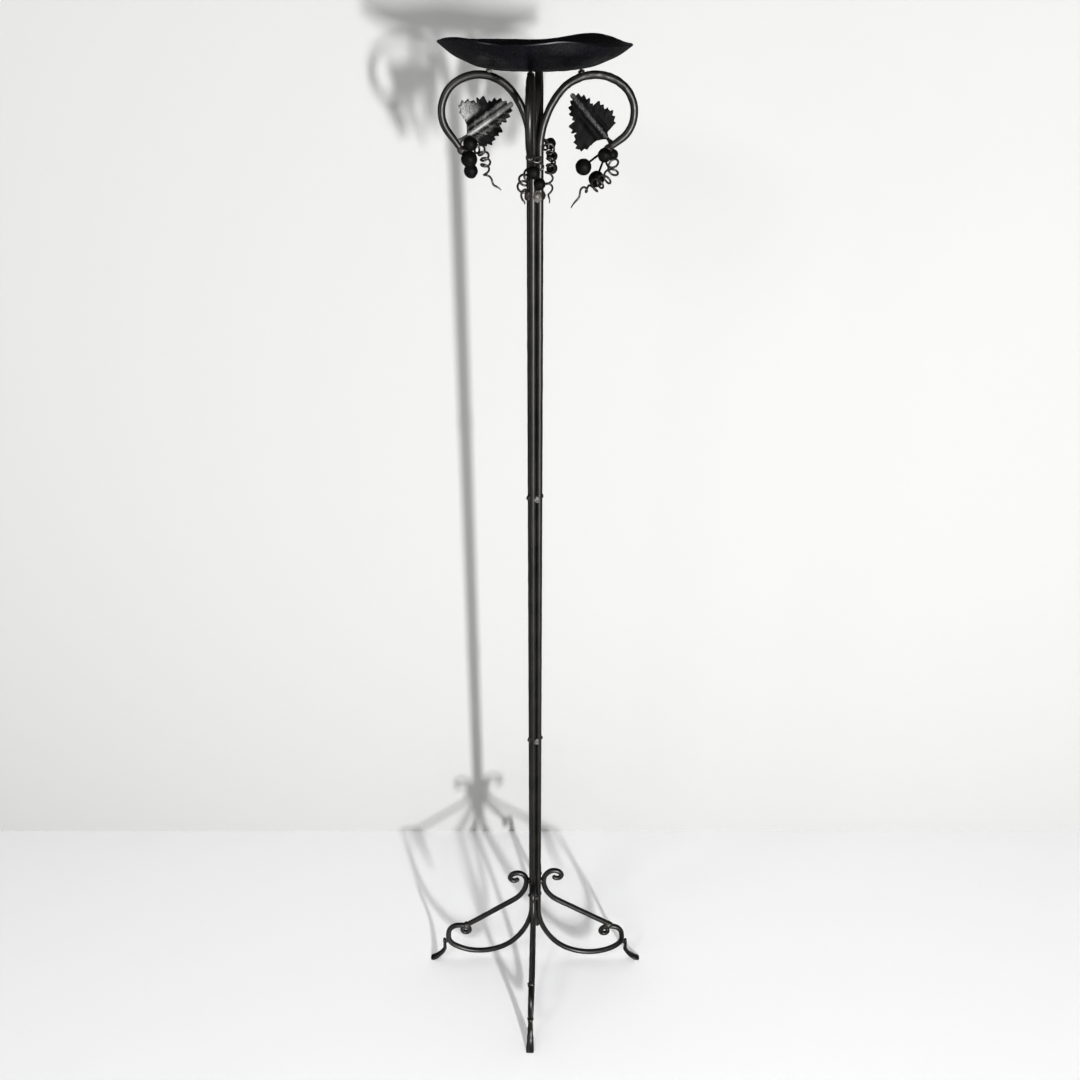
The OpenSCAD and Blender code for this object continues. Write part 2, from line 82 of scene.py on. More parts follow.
def along(mark: Array, bend: Bend, share: Array) -> Array:
    """Follows a stroke: an arc keeps its centre, so its points are that centre plus the radius
    turned by the heading, and its thickness changes evenly.

    Args:
        mark: Where the stroke starts, as [out, up, heading in degrees, half thickness].
        bend: The stroke.
        share: How far along it, from 0 to 1.

    Returns:
        One row like mark for each share.
    """
    share = np.atleast_1d(np.asarray(share, float))
    half = mark[3] + share * ((mark[3] if bend.half is None else bend.half) - mark[3])
    start = math.radians(mark[2])
    if bend.radius == 0:
        run = share * bend.turn
        return np.column_stack([mark[0] + run * math.cos(start), mark[1] + run * math.sin(start),
                                np.full_like(share, mark[2]), half])
    radius = math.copysign(bend.radius, bend.turn)
    heading = start + share * math.radians(bend.turn)
    return np.column_stack([mark[0] + radius * (np.sin(heading) - math.sin(start)),
                            mark[1] - radius * (np.cos(heading) - math.cos(start)),
                            np.degrees(heading), half])


def after(mark: Array, bends: Sequence[Bend]) -> Array:
    """The mark at the end of several strokes, walked one after the other.

    Args:
        mark: Where the first stroke starts.
        bends: The strokes in order.

    Returns:
        [out, up, heading, half thickness] at the last one's end.
    """
    for bend in bends:
        mark = along(mark, bend, 1)[0]
    return mark


def trail(mark: Array, bends: Sequence[Bend], pitch: float) -> Array:
    """Marks along several strokes.

    Args:
        mark: Where the first stroke starts.
        bends: The strokes in order.
        pitch: Greatest distance between two marks.

    Returns:
        Rows of [out, up, heading, half thickness], both ends among them.
    """
    rows = []
    for bend in bends:
        length = bend.turn if bend.radius == 0 else bend.radius * math.radians(abs(bend.turn))
        count = max(2, math.ceil(abs(length) / pitch))
        rows.append(along(mark, bend, np.arange(count) / count))
        mark = along(mark, bend, 1)[0]
    return np.vstack([*rows, mark])


def reversed_trail(rows: Array) -> Array:
    """The same marks walked the other way."""
    return rows[::-1] + np.array([0, 0, 180, 0])


# --- surfaces -----------------------------------------------------------------------------


def relief(points: Array, size: float, seed: int, waves: int = 14) -> Array:
    """Smooth hammer marks: a sum of plane waves with random directions and phases.

    Args:
        points: Rows of [x, y, z].
        size: Typical distance between two marks.
        seed: Start of the random numbers, so that each run is alike.
        waves: How many waves are added.

    Returns:
        A value near -1 to 1 for each row.
    """
    chance = np.random.default_rng(seed)
    ways = chance.normal(size=(waves, 3))
    ways *= ((2 * math.pi / size) * chance.uniform(0.7, 1.3, (waves, 1))
             / np.linalg.norm(ways, axis=1)[:, None])
    phases = chance.uniform(0, 2 * math.pi, waves)
    return np.sin(points @ ways.T + phases).sum(axis=-1) / math.sqrt(waves / 2) / WAVE_PEAK


def flat_tube(rows: Array, sides: int, width: Array | float = 1.0) -> Array:
    """Round section carried along a flat path: each ring is the mark plus its half thickness,
    turned round the heading, and stretched across the plane by width.

    Args:
        rows: Marks of the path.
        sides: Points round each ring.
        width: Half width across the plane as a share of the half thickness.

    Returns:
        A grid of [out, across, up], rings by sides.
    """
    angle = 2 * math.pi * np.arange(sides) / sides
    heading = np.radians(rows[:, 2])[:, None]
    half = rows[:, 3][:, None]
    high = half * np.cos(angle)
    wide = half * np.sin(angle) * (np.asarray(width)[:, None] if np.ndim(width) else width)
    return np.stack([rows[:, 0][:, None] - high * np.sin(heading), wide,
                     rows[:, 1][:, None] + high * np.cos(heading)], axis=-1)


def rounded_ends(rows: Array, tip: float, start: bool = True, end: bool = True) -> Array:
    """Adds marks that round a bar's ends off, as a quarter circle of the bar's half thickness.

    Args:
        rows: Marks of the path.
        tip: Length of the rounding as a share of the half thickness.
        start: Whether the first end is rounded.
        end: Whether the last end is rounded.

    Returns:
        The marks with the added ones.
    """
    lean = np.radians(END_RINGS)
    parts = [rows]
    if end:
        more = along(rows[-1], Bend(0, rows[-1, 3] * tip), np.sin(lean))
        more[:, 3] = rows[-1, 3] * np.cos(lean)
        parts.append(more)
    if start:
        less = along(rows[0], Bend(0, -rows[0, 3] * tip), np.sin(lean))
        less[:, 3] = rows[0, 3] * np.cos(lean)
        parts.insert(0, less[::-1])
    return np.vstack(parts)


def swollen(grid: Array, depth: float, size: float, seed: int) -> Array:
    """Pushes a tube's rings in and out from their middles by hammer marks.

    Args:
        grid: Rings by sides by three.
        depth: Height of the marks.
        size: Distance between them.
        seed: Start of the random numbers.

    Returns:
        The grid with its marks.
    """
    middle = grid.mean(axis=1, keepdims=True)
    spoke = grid - middle
    reach = np.linalg.norm(spoke, axis=-1, keepdims=True)
    push = depth * relief(grid, size, seed)[..., None] * np.minimum(1, reach)
    return middle + spoke * (1 + push / np.maximum(reach, 1e-6))


def space_tube(points: Array, half: Array, sides: int) -> Array:
    """Round section carried along a path in space, its rings turned as little as can be: each
    ring's first spoke is the last one's, laid square to the path again.

    Args:
        points: Rows of the path's middle.
        half: Half thickness at each row.
        sides: Points round each ring.

    Returns:
        A grid of rings by sides by three.
    """
    way = np.gradient(points, axis=0)
    way /= np.linalg.norm(way, axis=1)[:, None]
    spoke = np.cross(way[0], [0.3, 0.9, 0.2])
    spokes = []
    for step in way:
        spoke = spoke - step * (spoke @ step)
        spoke = spoke / np.linalg.norm(spoke)
        spokes.append(spoke)
    first = np.array(spokes)
    second = np.cross(way, first)
    angle = 2 * math.pi * np.arange(sides) / sides
    ring = (np.cos(angle)[None, :, None] * first[:, None]
            + np.sin(angle)[None, :, None] * second[:, None])
    return points[:, None] + half[:, None, None] * ring


def ball(centre: Sequence[float], radii: Sequence[float], rings: int, sides: int) -> Array:
    """Ball as rings round its upright axis, from the lowest to the highest.

    Args:
        centre: Its middle.
        radii: Half sizes along the three axes.
        rings: Rings between the poles.
        sides: Points round each ring.

    Returns:
        A grid of rings by sides by three.
    """
    lift = np.linspace(-0.995, 0.995, rings) * math.pi / 2
    angle = 2 * math.pi * np.arange(sides) / sides
    unit = np.stack([np.cos(lift)[:, None] * np.cos(angle), np.cos(lift)[:, None] * np.sin(angle),
                     np.repeat(np.sin(lift)[:, None], sides, axis=1)], axis=-1)
    return np.asarray(centre, float) + unit * np.asarray(radii, float)


def run_metal(middle: Sequence[float], radii: Sequence[float], mesh: tuple[int, int],
              reach: float, lumps: Sequence[tuple[float, float, int]]) -> Array:
    """Bead of weld metal: a ball pushed out and in from its middle by sums of hammer marks.

    Args:
        middle: Its middle.
        radii: Half sizes along the three axes.
        mesh: Rings between the poles, and points round each ring.
        reach: Distance from the middle at which a lump has its full height.
        lumps: Height, distance and seed of each kind of lump.

    Returns:
        A grid of rings by sides by three.
    """
    grid = ball(middle, radii, *mesh)
    push = sum(height * relief(grid, size, seed) for height, size, seed in lumps)
    return grid + (grid - middle) / reach * push[..., None]


def skin(name: str, grids: Sequence[Array], wear_and_highlight: Array | None = None) -> bpy.types.Object:
    """Makes one closed mesh of each grid of rings, with a fan over each end, faces outwards: a
    grid is flipped where its rings' areas, times the steps between them, add up below zero.

    Args:
        name: Name of the piece.
        grids: Grids of rings by sides by three, in the stand's frame.
        wear_and_highlight: Wear and painted highlight at each point, 0 to 1, for a piece of one
            grid.

    Returns:
        The piece, smooth where its faces meet at less than 40 degrees.
    """
    points, faces, base = [], [], 0
    for grid in grids:
        rings, sides = grid.shape[:2]
        middle = grid.mean(axis=1)
        spoke = grid - middle[:, None]
        area = np.cross(spoke, np.roll(spoke, -1, 1)).sum(axis=1)
        if np.sum((area[:-1] + area[1:]) * np.diff(middle, axis=0)) < 0:
            grid = grid[:, ::-1]
            wear_and_highlight = None if wear_and_highlight is None else wear_and_highlight[:, ::-1]
        index = base + np.arange(rings * sides).reshape(rings, sides)
        beside = np.roll(index, -1, axis=1)
        quads = np.stack([index[:-1], beside[:-1], beside[1:], index[1:]], axis=-1)
        low, high = base + rings * sides, base + rings * sides + 1
        fans = ([[low, b, a] for a, b in zip(index[0], beside[0])]
                + [[high, a, b] for a, b in zip(index[-1], beside[-1])])
        points.append(np.vstack([grid.reshape(-1, 3), grid[0].mean(0), grid[-1].mean(0)]))
        faces += quads.reshape(-1, 4).tolist() + fans
        base += rings * sides + 2
    mesh = bpy.data.meshes.new(name)
    mesh.from_pydata((np.vstack(points) * MM).tolist(), [], faces)
    if wear_and_highlight is not None:
        rubbed_and_highlighted = mesh.attributes.new("wear_and_highlight", "FLOAT", "POINT")
        rubbed_and_highlighted.data.foreach_set("value", np.append(wear_and_highlight.ravel(), [0, 0]))
    mesh.shade_smooth()
    mesh.set_sharp_from_angle(angle=math.radians(SMOOTH_BELOW))
    piece = bpy.data.objects.new(name, mesh)
    bpy.context.scene.collection.objects.link(piece)
    return piece


# --- finishes -----------------------------------------------------------------------------


def linear(colour: str) -> tuple[float, float, float, float]:
    """Turns an sRGB hex colour into linear light.

    Args:
        colour: The colour as #rrggbb.

    Returns:
        Red, green, blue and an alpha of 1.
    """
    parts = [int(colour[i:i + 2], 16) / 255 for i in (1, 3, 5)]
    red, green, blue = (p / 12.92 if p <= 0.04045 else ((p + 0.055) / 1.055) ** 2.4 for p in parts)
    return red, green, blue, 1.0


def add(tree: bpy.types.NodeTree, kind: str, settings: dict[str | int, object] | None = None,
        links: dict[str | int, bpy.types.NodeSocket] | None = None) -> bpy.types.Node:
    """Adds one node.

    Args:
        tree: The material's tree.
        kind: The node's type.
        settings: Values by property or by input name; a property's name starts with a dot.
        links: Sockets that feed the node's inputs.

    Returns:
        The node.
    """
    node = tree.nodes.new(kind)
    for key, value in (settings or {}).items():
        if isinstance(key, str) and key.startswith("."):
            setattr(node, key[1:], value)
        else:
            node.inputs[key].default_value = value
    for key, socket in (links or {}).items():
        tree.links.new(socket, node.inputs[key])
    return node


@dataclass(frozen=True)
class BlackenedSteel:
    """Brushed black lacquer over steel: two tones that drift, with a forged skin in its bump, and
    where a piece carries a mask, a pale tone that is partly wear where it stands proud and partly
    painted highlight. The eye sees near-black with soft grey gleams that break up."""

    name: str
    dark: str = "#0d0c0b"
    light: str = "#24211d"
    drift: float = 22.0        # millimetres between two changes of tone
    gloss: tuple[float, float] = (0.24, 0.42)   # roughness, least and most
    scale_mark: float = 2.2    # millimetres between flecks of forge scale, drawn coarse to show
    scale_depth: float = 0.10  # their height in millimetres
    dent_mark: float = 11.0    # millimetres between hammer blows
    dent_depth: float = 0.18
    sheen_level: float = 0.5   # specular level of the lacquer
    metal: float = 0.0
    rubbed_and_highlighted: str = ""           # pale tone where a piece's mask of wear and painted highlight is 1, if it has one

    def build(self) -> bpy.types.Material:
        """Makes the material: noise in Object coordinates drives tone, roughness and bump.

        Returns:
            The material.
        """
        material = bpy.data.materials.new(self.name)
        material.use_nodes = True
        tree = material.node_tree
        surface = tree.nodes["Principled BSDF"]
        surface.inputs["Metallic"].default_value = self.metal
        surface.inputs["Specular IOR Level"].default_value = self.sheen_level
        place = add(tree, "ShaderNodeTexCoord").outputs["Object"]
        tone, fleck, dent = (
            add(tree, "ShaderNodeTexNoise", {"Scale": 1 / (size * MM), "Detail": detail},
                {"Vector": place}).outputs[0]
            for size, detail in ((self.drift, 3.0), (self.scale_mark, 4.0), (self.dent_mark, 1.0)))
        ramp = add(tree, "ShaderNodeMapRange", {"From Min": 0.35, "From Max": 0.68},
                   {"Value": tone})
        mix = add(tree, "ShaderNodeMix", {".data_type": "RGBA", "A": linear(self.dark),
                  "B": linear(self.light)}, {"Factor": ramp.outputs[0]})
        colour = mix.outputs["Result"]
        if self.rubbed_and_highlighted:
            # The mask is partly wear and partly painted highlight; flecks break it up
            wear_and_highlight = add(tree, "ShaderNodeAttribute", {".attribute_name": "wear_and_highlight"}).outputs["Fac"]
            share = add(tree, "ShaderNodeMath", {".operation": "MULTIPLY"}, {0: wear_and_highlight, 1: fleck})
            ease = add(tree, "ShaderNodeMapRange", {"From Min": 0.08, "From Max": 0.6},
                       {"Value": share.outputs[0]})
            rub_and_highlight = add(tree, "ShaderNodeMix", {".data_type": "RGBA", "B": linear(self.rubbed_and_highlighted)},
                      {"Factor": ease.outputs[0], "A": colour})
            colour = rub_and_highlight.outputs["Result"]
        tree.links.new(colour, surface.inputs["Base Color"])
        rough = add(tree, "ShaderNodeMapRange", {"From Min": 0.3, "From Max": 0.7,
                    "To Min": self.gloss[0], "To Max": self.gloss[1]}, {"Value": fleck})
        tree.links.new(rough.outputs[0], surface.inputs["Roughness"])
        fine = add(tree, "ShaderNodeBump", {"Strength": 1.0, "Distance": self.scale_depth * MM},
                   {"Height": fleck})
        coarse = add(tree, "ShaderNodeBump", {"Strength": 1.0, "Distance": self.dent_depth * MM},
                     {"Height": dent, "Normal": fine.outputs[0]})
        tree.links.new(coarse.outputs[0], surface.inputs["Normal"])
        return material


# Lacquer brushed on hot-forged bar: near-black, with soft light lines that waver a little
BAR = BlackenedSteel("lacquered_forged_bar", dark="#060605", light="#171511", gloss=(0.34, 0.46),
                     scale_mark=2.4, scale_depth=0.015, dent_depth=0.08, sheen_level=0.46)
# The same on a raised sheet, planished smooth: cold black, with one broad low sheen
DISH = BlackenedSteel("lacquered_raised_sheet", dark="#020203", light="#07070d", drift=40.0,
                      gloss=(0.26, 0.32), scale_mark=3.0, scale_depth=0.004, dent_mark=18.0,
                      dent_depth=0.12, sheen_level=0.4)
# Pressed sheet: dull black, grey where rubbed back on ridges and where highlight is painted
LEAF = BlackenedSteel("pressed_leaf_wear_and_highlight", dark="#050505", light="#101010", drift=7.0,
                      gloss=(0.46, 0.60), scale_mark=1.4, scale_depth=0.05, dent_mark=5.0,
                      dent_depth=0.12, sheen_level=0.035, metal=0.1, rubbed_and_highlighted="#b4b4b2")
# Lacquered cast balls with a rough skin: dull black with a dim round gleam
GRAPE = BlackenedSteel("lacquered_cast_ball", dark="#040404", light="#0e0d0c", drift=8.0,
                       gloss=(0.46, 0.60), scale_mark=1.5, scale_depth=0.04, sheen_level=0.07)
# Lacquered drawn wire, smooth: thin bright gleams along each turn
WIRE = BlackenedSteel("lacquered_bent_wire", dark="#0a0807", light="#201b16", drift=8.0,
                      gloss=(0.24, 0.36), scale_mark=1.2, scale_depth=0.02, dent_mark=5.0,
                      dent_depth=0.05, sheen_level=0.6)
# Weld metal left bare: mid grey, finely lumped, matt
WELD = BlackenedSteel("bare_weld_metal", dark="#2b2926", light="#6e6b65", drift=4.0,
                      gloss=(0.34, 0.55), scale_mark=1.1, scale_depth=0.25, dent_mark=3.0,
                      dent_depth=0.4)
# Weld metal under the lacquer: black lumps with broken gleams
DARK_WELD = BlackenedSteel("lacquered_weld_metal", dark="#0d0b0a", light="#2a241f", drift=4.0,
                           gloss=(0.30, 0.50), scale_mark=1.1, scale_depth=0.25, dent_mark=3.0,
                           dent_depth=0.4)


# --- the drawing --------------------------------------------------------------------------


@dataclass(frozen=True)
class Drawing:
    """Driving sizes that the pieces share, in millimetres, with what follows from them."""

    bar_d: float = 8.0
    gap: float = 0.1                 # between two pieces welded side by side
    bundle_turn: float = 24.0        # degrees from the arms to the bars' square
    rim_z: float = 1342.0
    dish_depth: float = 24.0
    arm_drop: float = 0.2
    knob_d: float = 8.4
    leg_lift: float = 11.0
    station_turn: tuple[float, ...] = (0, 2.6, 0, 2.6)   # of each leg and arm about its own bar
    arm_scale: tuple[float, ...] = (1, 1, 1, 0.93)       # of each arm's first three bends
    arm_in: tuple[float, ...] = (45, 45, 45, 27)         # turn of each arm's last bend
    arm_tail: tuple[float, ...] = (12, 12, 12, 18.5)     # length of each arm's straight end
    arm_tip: float = 0.85                                # an arm's tip against the bar
    leg_bends: tuple[Bend, ...] = (
        Bend(120, 38), Bend(75, 52), Bend(68, 37), Bend(24, 53), Bend(60, 12), Bend(17, 78),
        Bend(0, 5), Bend(12.3, 70, 3.7), Bend(5.9, 235, 3.4))
    leg_curl: int = 7                                    # which of those strokes is the curl

    @property
    def half(self) -> float:
        """Half the bar's thickness."""
        return self.bar_d / 2

    @property
    def pitch_r(self) -> float:
        """Distance of a bar's middle from the stem's axis."""
        return (self.bar_d + self.gap) / math.sqrt(2)

    @property
    def stem_r(self) -> float:
        """That distance along an arm's own direction."""
        return self.pitch_r * math.cos(math.radians(self.bundle_turn))

    @property
    def side(self) -> float:
        """The same across it."""
        return -self.pitch_r * math.sin(math.radians(self.bundle_turn))

    @property
    def dish_under(self) -> float:
        """Height of the dish's underside."""
        return self.rim_z - self.dish_depth

    @property
    def leg_start(self) -> Array:
        """Mark where a leg leaves the straight stem, heading down.

        Returns:
            [out, up, heading, half thickness].
        """
        rise, sole = self.leg_bends[0], self.leg_bends[1]
        lean = math.sin(math.radians(rise.turn))
        return np.array([self.stem_r, self.leg_lift + self.half + rise.radius * lean
                         + sole.radius * (1 - lean), -90, self.half])

    def place(self, station: Station, points: Array) -> Array:
        """Turns points from a station's own plane into the stand's frame: first about the
        station's bar, then about the stand's axis.

        Args:
            station: The station.
            points: Rows of [out, across, up].

        Returns:
            The same rows as [x, y, z].
        """
        turn = math.radians(self.station_turn[station.value])
        angle = math.radians(station.value * 90 - 90)
        out, across, up = points[..., 0] - self.stem_r, points[..., 1], points[..., 2]
        out, across = (out * math.cos(turn) - across * math.sin(turn) + self.stem_r,
                       out * math.sin(turn) + across * math.cos(turn) + self.side)
        return np.stack([out * math.cos(angle) - across * math.sin(angle),
                         out * math.sin(angle) + across * math.cos(angle), up], axis=-1)

    def arm_bends(self, station: Station) -> tuple[Bend, ...]:
        """Strokes of a station's arm, from the stem's end to the arm's tip.

        Args:
            station: The arm's station.

        Returns:
            Its bends in order.
        """
        scale, last = self.arm_scale[station.value], self.arm_in[station.value]
        return (Bend(90 * scale, -37), Bend(48 * scale, -53), Bend(47 * scale, -35), Bend(34, -65),
                Bend(29.5, -last), Bend(0, self.arm_tail[station.value], self.arm_tip * self.half))

    def arm_start(self, station: Station) -> Array:
        """Mark where an arm leaves the straight stem.

        Args:
            station: The arm's station.

        Returns:
            [out, up, heading, half thickness].
        """
        rise, shoulder = self.arm_bends(station)[:2]
        lean = math.sin(math.radians(-rise.turn))
        top = self.dish_under - self.arm_drop - self.half
        low = top - rise.radius * lean - shoulder.radius * (1 - lean)
        return np.array([self.stem_r, low, 90, self.half])

    def arm_end(self, station: Station) -> Array:
        """Mark at an arm's tip."""
        return after(self.arm_start(station), self.arm_bends(station))

    def knob(self, station: Station) -> Array:
        """Middle of the weld knob at an arm's end, as [out, across, up]."""
        end = along(self.arm_end(station), Bend(0, self.knob_d / 2 + self.gap), 1)[0]
        return np.array([end[0], 0, end[1]])


@dataclass
class Assembly:
    """What the sub-assemblies have in common: the drawing, a finish and a record slot."""

    drawing: Drawing
    finish: bpy.types.Material
    slot: str

    def dress(self, piece: bpy.types.Object, *nodes: str,
              finish: bpy.types.Material | None = None) -> bpy.types.Object:
        """Gives a new piece its finish and lets it stand for its CAD nodes.

        Args:
            piece: The piece.
            nodes: The CAD nodes that it replaces.
            finish: A finish other than the sub-assembly's own.

        Returns:
            The piece.
        """
        piece.data.materials.append(finish or self.finish)
        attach(piece, "root")
        if nodes:
            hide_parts(*nodes)
        log.info("%s: %d faces", piece.name, len(piece.data.polygons))
        return piece


@dataclass
class Bars(Assembly):
    """The four bars, each from its leg's curl up the stem to its arm's end."""

    sides: int = 20
    pitch: float = 2.5           # between two rings in a bend
    stem_pitch: float = 9.0      # and in the straight stem
    end_round: float = 0.9       # length of a rounded end against the half thickness
    dent: float = 0.09           # height of the hammer marks
    dent_size: float = 14.0      # and the distance between them
    arm_dent: dict[Station, float] = field(default_factory=lambda: {Station.RIGHT: 0.22})
    arm_dent_size: float = 6.0   # of the arm that was struck harder
    arm_dent_from: float = 40.0  # height over the arm's start at which that begins
    arm_dent_over: float = 20.0  # and over which it grows
    seed: int = 10
    arm_seed: int = 31

    def line(self, station: Station) -> Array:
        """Marks from the leg's curl to the arm's end.

        Args:
            station: The bar's station.

        Returns:
            Rows of [out, up, heading, half thickness].
        """
        low = reversed_trail(trail(self.drawing.leg_start, self.drawing.leg_bends, self.pitch))
        high = trail(self.drawing.arm_start(station), self.drawing.arm_bends(station), self.pitch)
        count = math.ceil((high[0, 1] - low[-1, 1]) / self.stem_pitch)
        stem = low[-1] + np.linspace(0, 1, count)[1:-1, None] * (high[0] - low[-1])
        return np.vstack([low, stem, high])

    def build(self) -> None:
        """Sweeps each bar round its line and hammers it."""
        for station in Station:
            rows = rounded_ends(self.line(station), self.end_round)
            grid = self.drawing.place(station, flat_tube(rows, self.sides))
            grid = swollen(grid, self.dent, self.dent_size, self.seed + station.value)
            if station in self.arm_dent:
                struck = swollen(grid, self.arm_dent[station], self.arm_dent_size, self.arm_seed)
                over = rows[:, 1] - self.drawing.arm_start(station)[1] - self.arm_dent_from
                weight = np.clip(over / self.arm_dent_over, 0, 1)[:, None, None]
                grid = grid + weight * (struck - grid)
            self.dress(skin(f"forged_bar_{station.word}", [grid]), f"bar_{station.word}")


@dataclass
class Braces(Assembly):
    """The four braces from a leg's curl to the stem, with a curl at the top."""

    slope: tuple[float, ...] = (34, 33.6, 34, 36.4)     # of each brace above the level
    landing_turn: tuple[float, ...] = (30, 0, 30, 30)   # of the leg's curl, where each brace lands
    rise: tuple[float, ...] = (1, 6.2, 1, 1)            # of each brace's middle over its landing
    neck_scale: tuple[float, ...] = (1, 1.14, 1, 0.86)  # of each brace's neck
    sink: float = 1.3            # how far each starts back into its landing, against its rise
    bend_r: float = 52.0
    neck_r: float = 21.0
    neck_turn: float = -50.0
    curl_r: float = 12.0
    curl_turn: float = -105.0
    curl_half: float = 0.93      # half thickness at the curl's end against the bar's
    eye_r: float = 6.6
    eye_turn: float = -160.0
    eye_half: float = 0.87
    root_half: float = 0.6       # thickness of the first ring, hidden in the weld
    sides: int = 18
    pitch: float = 2.0           # between two rings
    end_round: float = 0.9
    dent: float = 0.1
    dent_size: float = 13.0
    seed: int = 40

    def landing(self, station: Station) -> Array:
        """Mark of the leg's bar under a brace's lower end.

        Args:
            station: The brace's station.

        Returns:
            [out, up, heading, half thickness].
        """
        d = self.drawing
        curl = d.leg_bends[d.leg_curl]
        share = self.landing_turn[station.value] / curl.turn
        return along(after(d.leg_start, d.leg_bends[:d.leg_curl]), curl, share)[0]

    def line(self, station: Station) -> Array:
        """Marks from inside the leg's crown or curl to the eye of the brace's own curl.

        Args:
            station: The brace's station.

        Returns:
            Rows of [out, up, heading, half thickness].
        """
        d, number = self.drawing, station.value
        slope, rise = math.radians(self.slope[number]), self.rise[number]
        landing = self.landing(station)
        start = along(np.array([landing[0], landing[1] + rise, 180 - self.slope[number], d.half]),
                      Bend(0, -self.sink * rise), 1)[0]
        stem_out = d.stem_r + d.bar_d + d.gap
        run = (start[0] - stem_out - self.bend_r * (1 - math.sin(slope))) / math.cos(slope)
        bends = (Bend(0, run), Bend(self.bend_r, self.slope[number] - 90),
                 Bend(self.neck_r * self.neck_scale[number], self.neck_turn),
                 Bend(self.curl_r, self.curl_turn, self.curl_half * d.half),
                 Bend(self.eye_r, self.eye_turn, self.eye_half * d.half))
        return trail(start, bends, self.pitch)

    def build(self) -> None:
        """Sweeps each brace; its lower end runs into the curl, where the weld hides it."""
        for station in Station:
            rows = rounded_ends(self.line(station), self.end_round, start=False)
            rows[0, 3] *= self.root_half
            grid = self.drawing.place(station, flat_tube(rows, self.sides))
            grid = swollen(grid, self.dent, self.dent_size, self.seed + station.value)
            self.dress(skin(f"forged_brace_{station.word}", [grid]), f"brace_{station.word}")


@dataclass
class Feet(Assembly):
    """The four feet: flattened bar, welded behind the scroll, that flares into a toe."""

    width: float = 12.0
    top_width: float = 7.0
    thick: float = 5.0
    reach: float = 22.0
    height: float = 44.0
    bends: tuple[tuple[float, float], ...] = (   # as shares of the reach and of the height
        (0, 1), (0, 0.9), (0, 0.68), (0, 0.5), (0.19, 0.32), (0.52, 0.13))
    toe_low: float = -2.0        # where the toe would end, under the floor
    outer_bends: int = 4         # strokes of the leg up to its outermost point
    toe_swell: float = 0.35      # how much thicker the toe is than the top
    top_round: float = 0.06      # share of the length over which the top is rounded off
    flare: float = 1.5           # power by which the width grows
    dent: float = 0.25
    dent_size: float = 9.0
    seed: int = 60
    least_z: float = 0.02        # lowest height of the sole
    rings: int = 60
    sides: int = 20

    def line(self) -> Array:
        """Smooth marks through the foot's bends, from its top to the floor.

        Returns:
            Rows of [out, up, heading, half thickness].
        """
        d = self.drawing
        outer = after(d.leg_start, d.leg_bends[:self.outer_bends])
        x = outer[0] + d.half + d.gap + self.thick / 2
        turns = np.array([[x + self.reach * out, self.height * up] for out, up in self.bends]
                         + [[x + self.reach, self.toe_low]])
        knots = np.concatenate([[0], np.cumsum(np.linalg.norm(np.diff(turns, axis=0), axis=1))])
        where = np.linspace(0, knots[-1], self.rings)
        soft = np.column_stack([smooth_curve(knots, turns[:, k], where) for k in (0, 1)])
        way = np.gradient(soft, axis=0)
        heading = np.degrees(np.arctan2(way[:, 1], way[:, 0]))
        return np.column_stack([soft, heading, np.full(self.rings, self.thick / 2)])

    def build(self) -> None:
        """Sweeps a flat section that widens toward the floor, and lays it flat on z = 0."""
        rows = self.line()
        share = np.linspace(0, 1, self.rings)
        swell = 1 + self.toe_swell * np.clip((share - 0.25) / 0.5, 0, 1)
        flared = self.top_width + (self.width - self.top_width) * share ** self.flare
        width = flared / self.thick / swell
        round_top = np.where(share < self.top_round,
                             np.sqrt(np.clip(1 - (1 - share / self.top_round) ** 2, 0.15, 1)), 1)
        rows[:, 3] *= round_top * swell
        grid = flat_tube(rows, self.sides, width)
        for station in Station:
            placed = self.drawing.place(station, grid)
            placed = swollen(placed, self.dent, self.dent_size, self.seed + station.value)
            placed[..., 2] = np.maximum(placed[..., 2], self.least_z)
            self.dress(skin(f"forged_foot_{station.word}", [placed]), f"foot_{station.word}")


def smooth_curve(knots: Array, values: Array, where: Array) -> Array:
    """Smooth curve through values: between two knots a cubic blends their places and slopes.

    Args:
        knots: Rising places of the values.
        values: The values.
        where: Places that are asked for.

    Returns:
        The curve there.
    """
    slope = np.gradient(values, knots)
    i = np.clip(np.searchsorted(knots, where, side="right") - 1, 0, len(knots) - 2)
    step = knots[i + 1] - knots[i]
    t = (where - knots[i]) / step
    return ((2 * t ** 3 - 3 * t ** 2 + 1) * values[i] + (t ** 3 - 2 * t ** 2 + t) * step * slope[i]
            + (3 * t ** 2 - 2 * t ** 3) * values[i + 1] + (t ** 3 - t ** 2) * step * slope[i + 1])


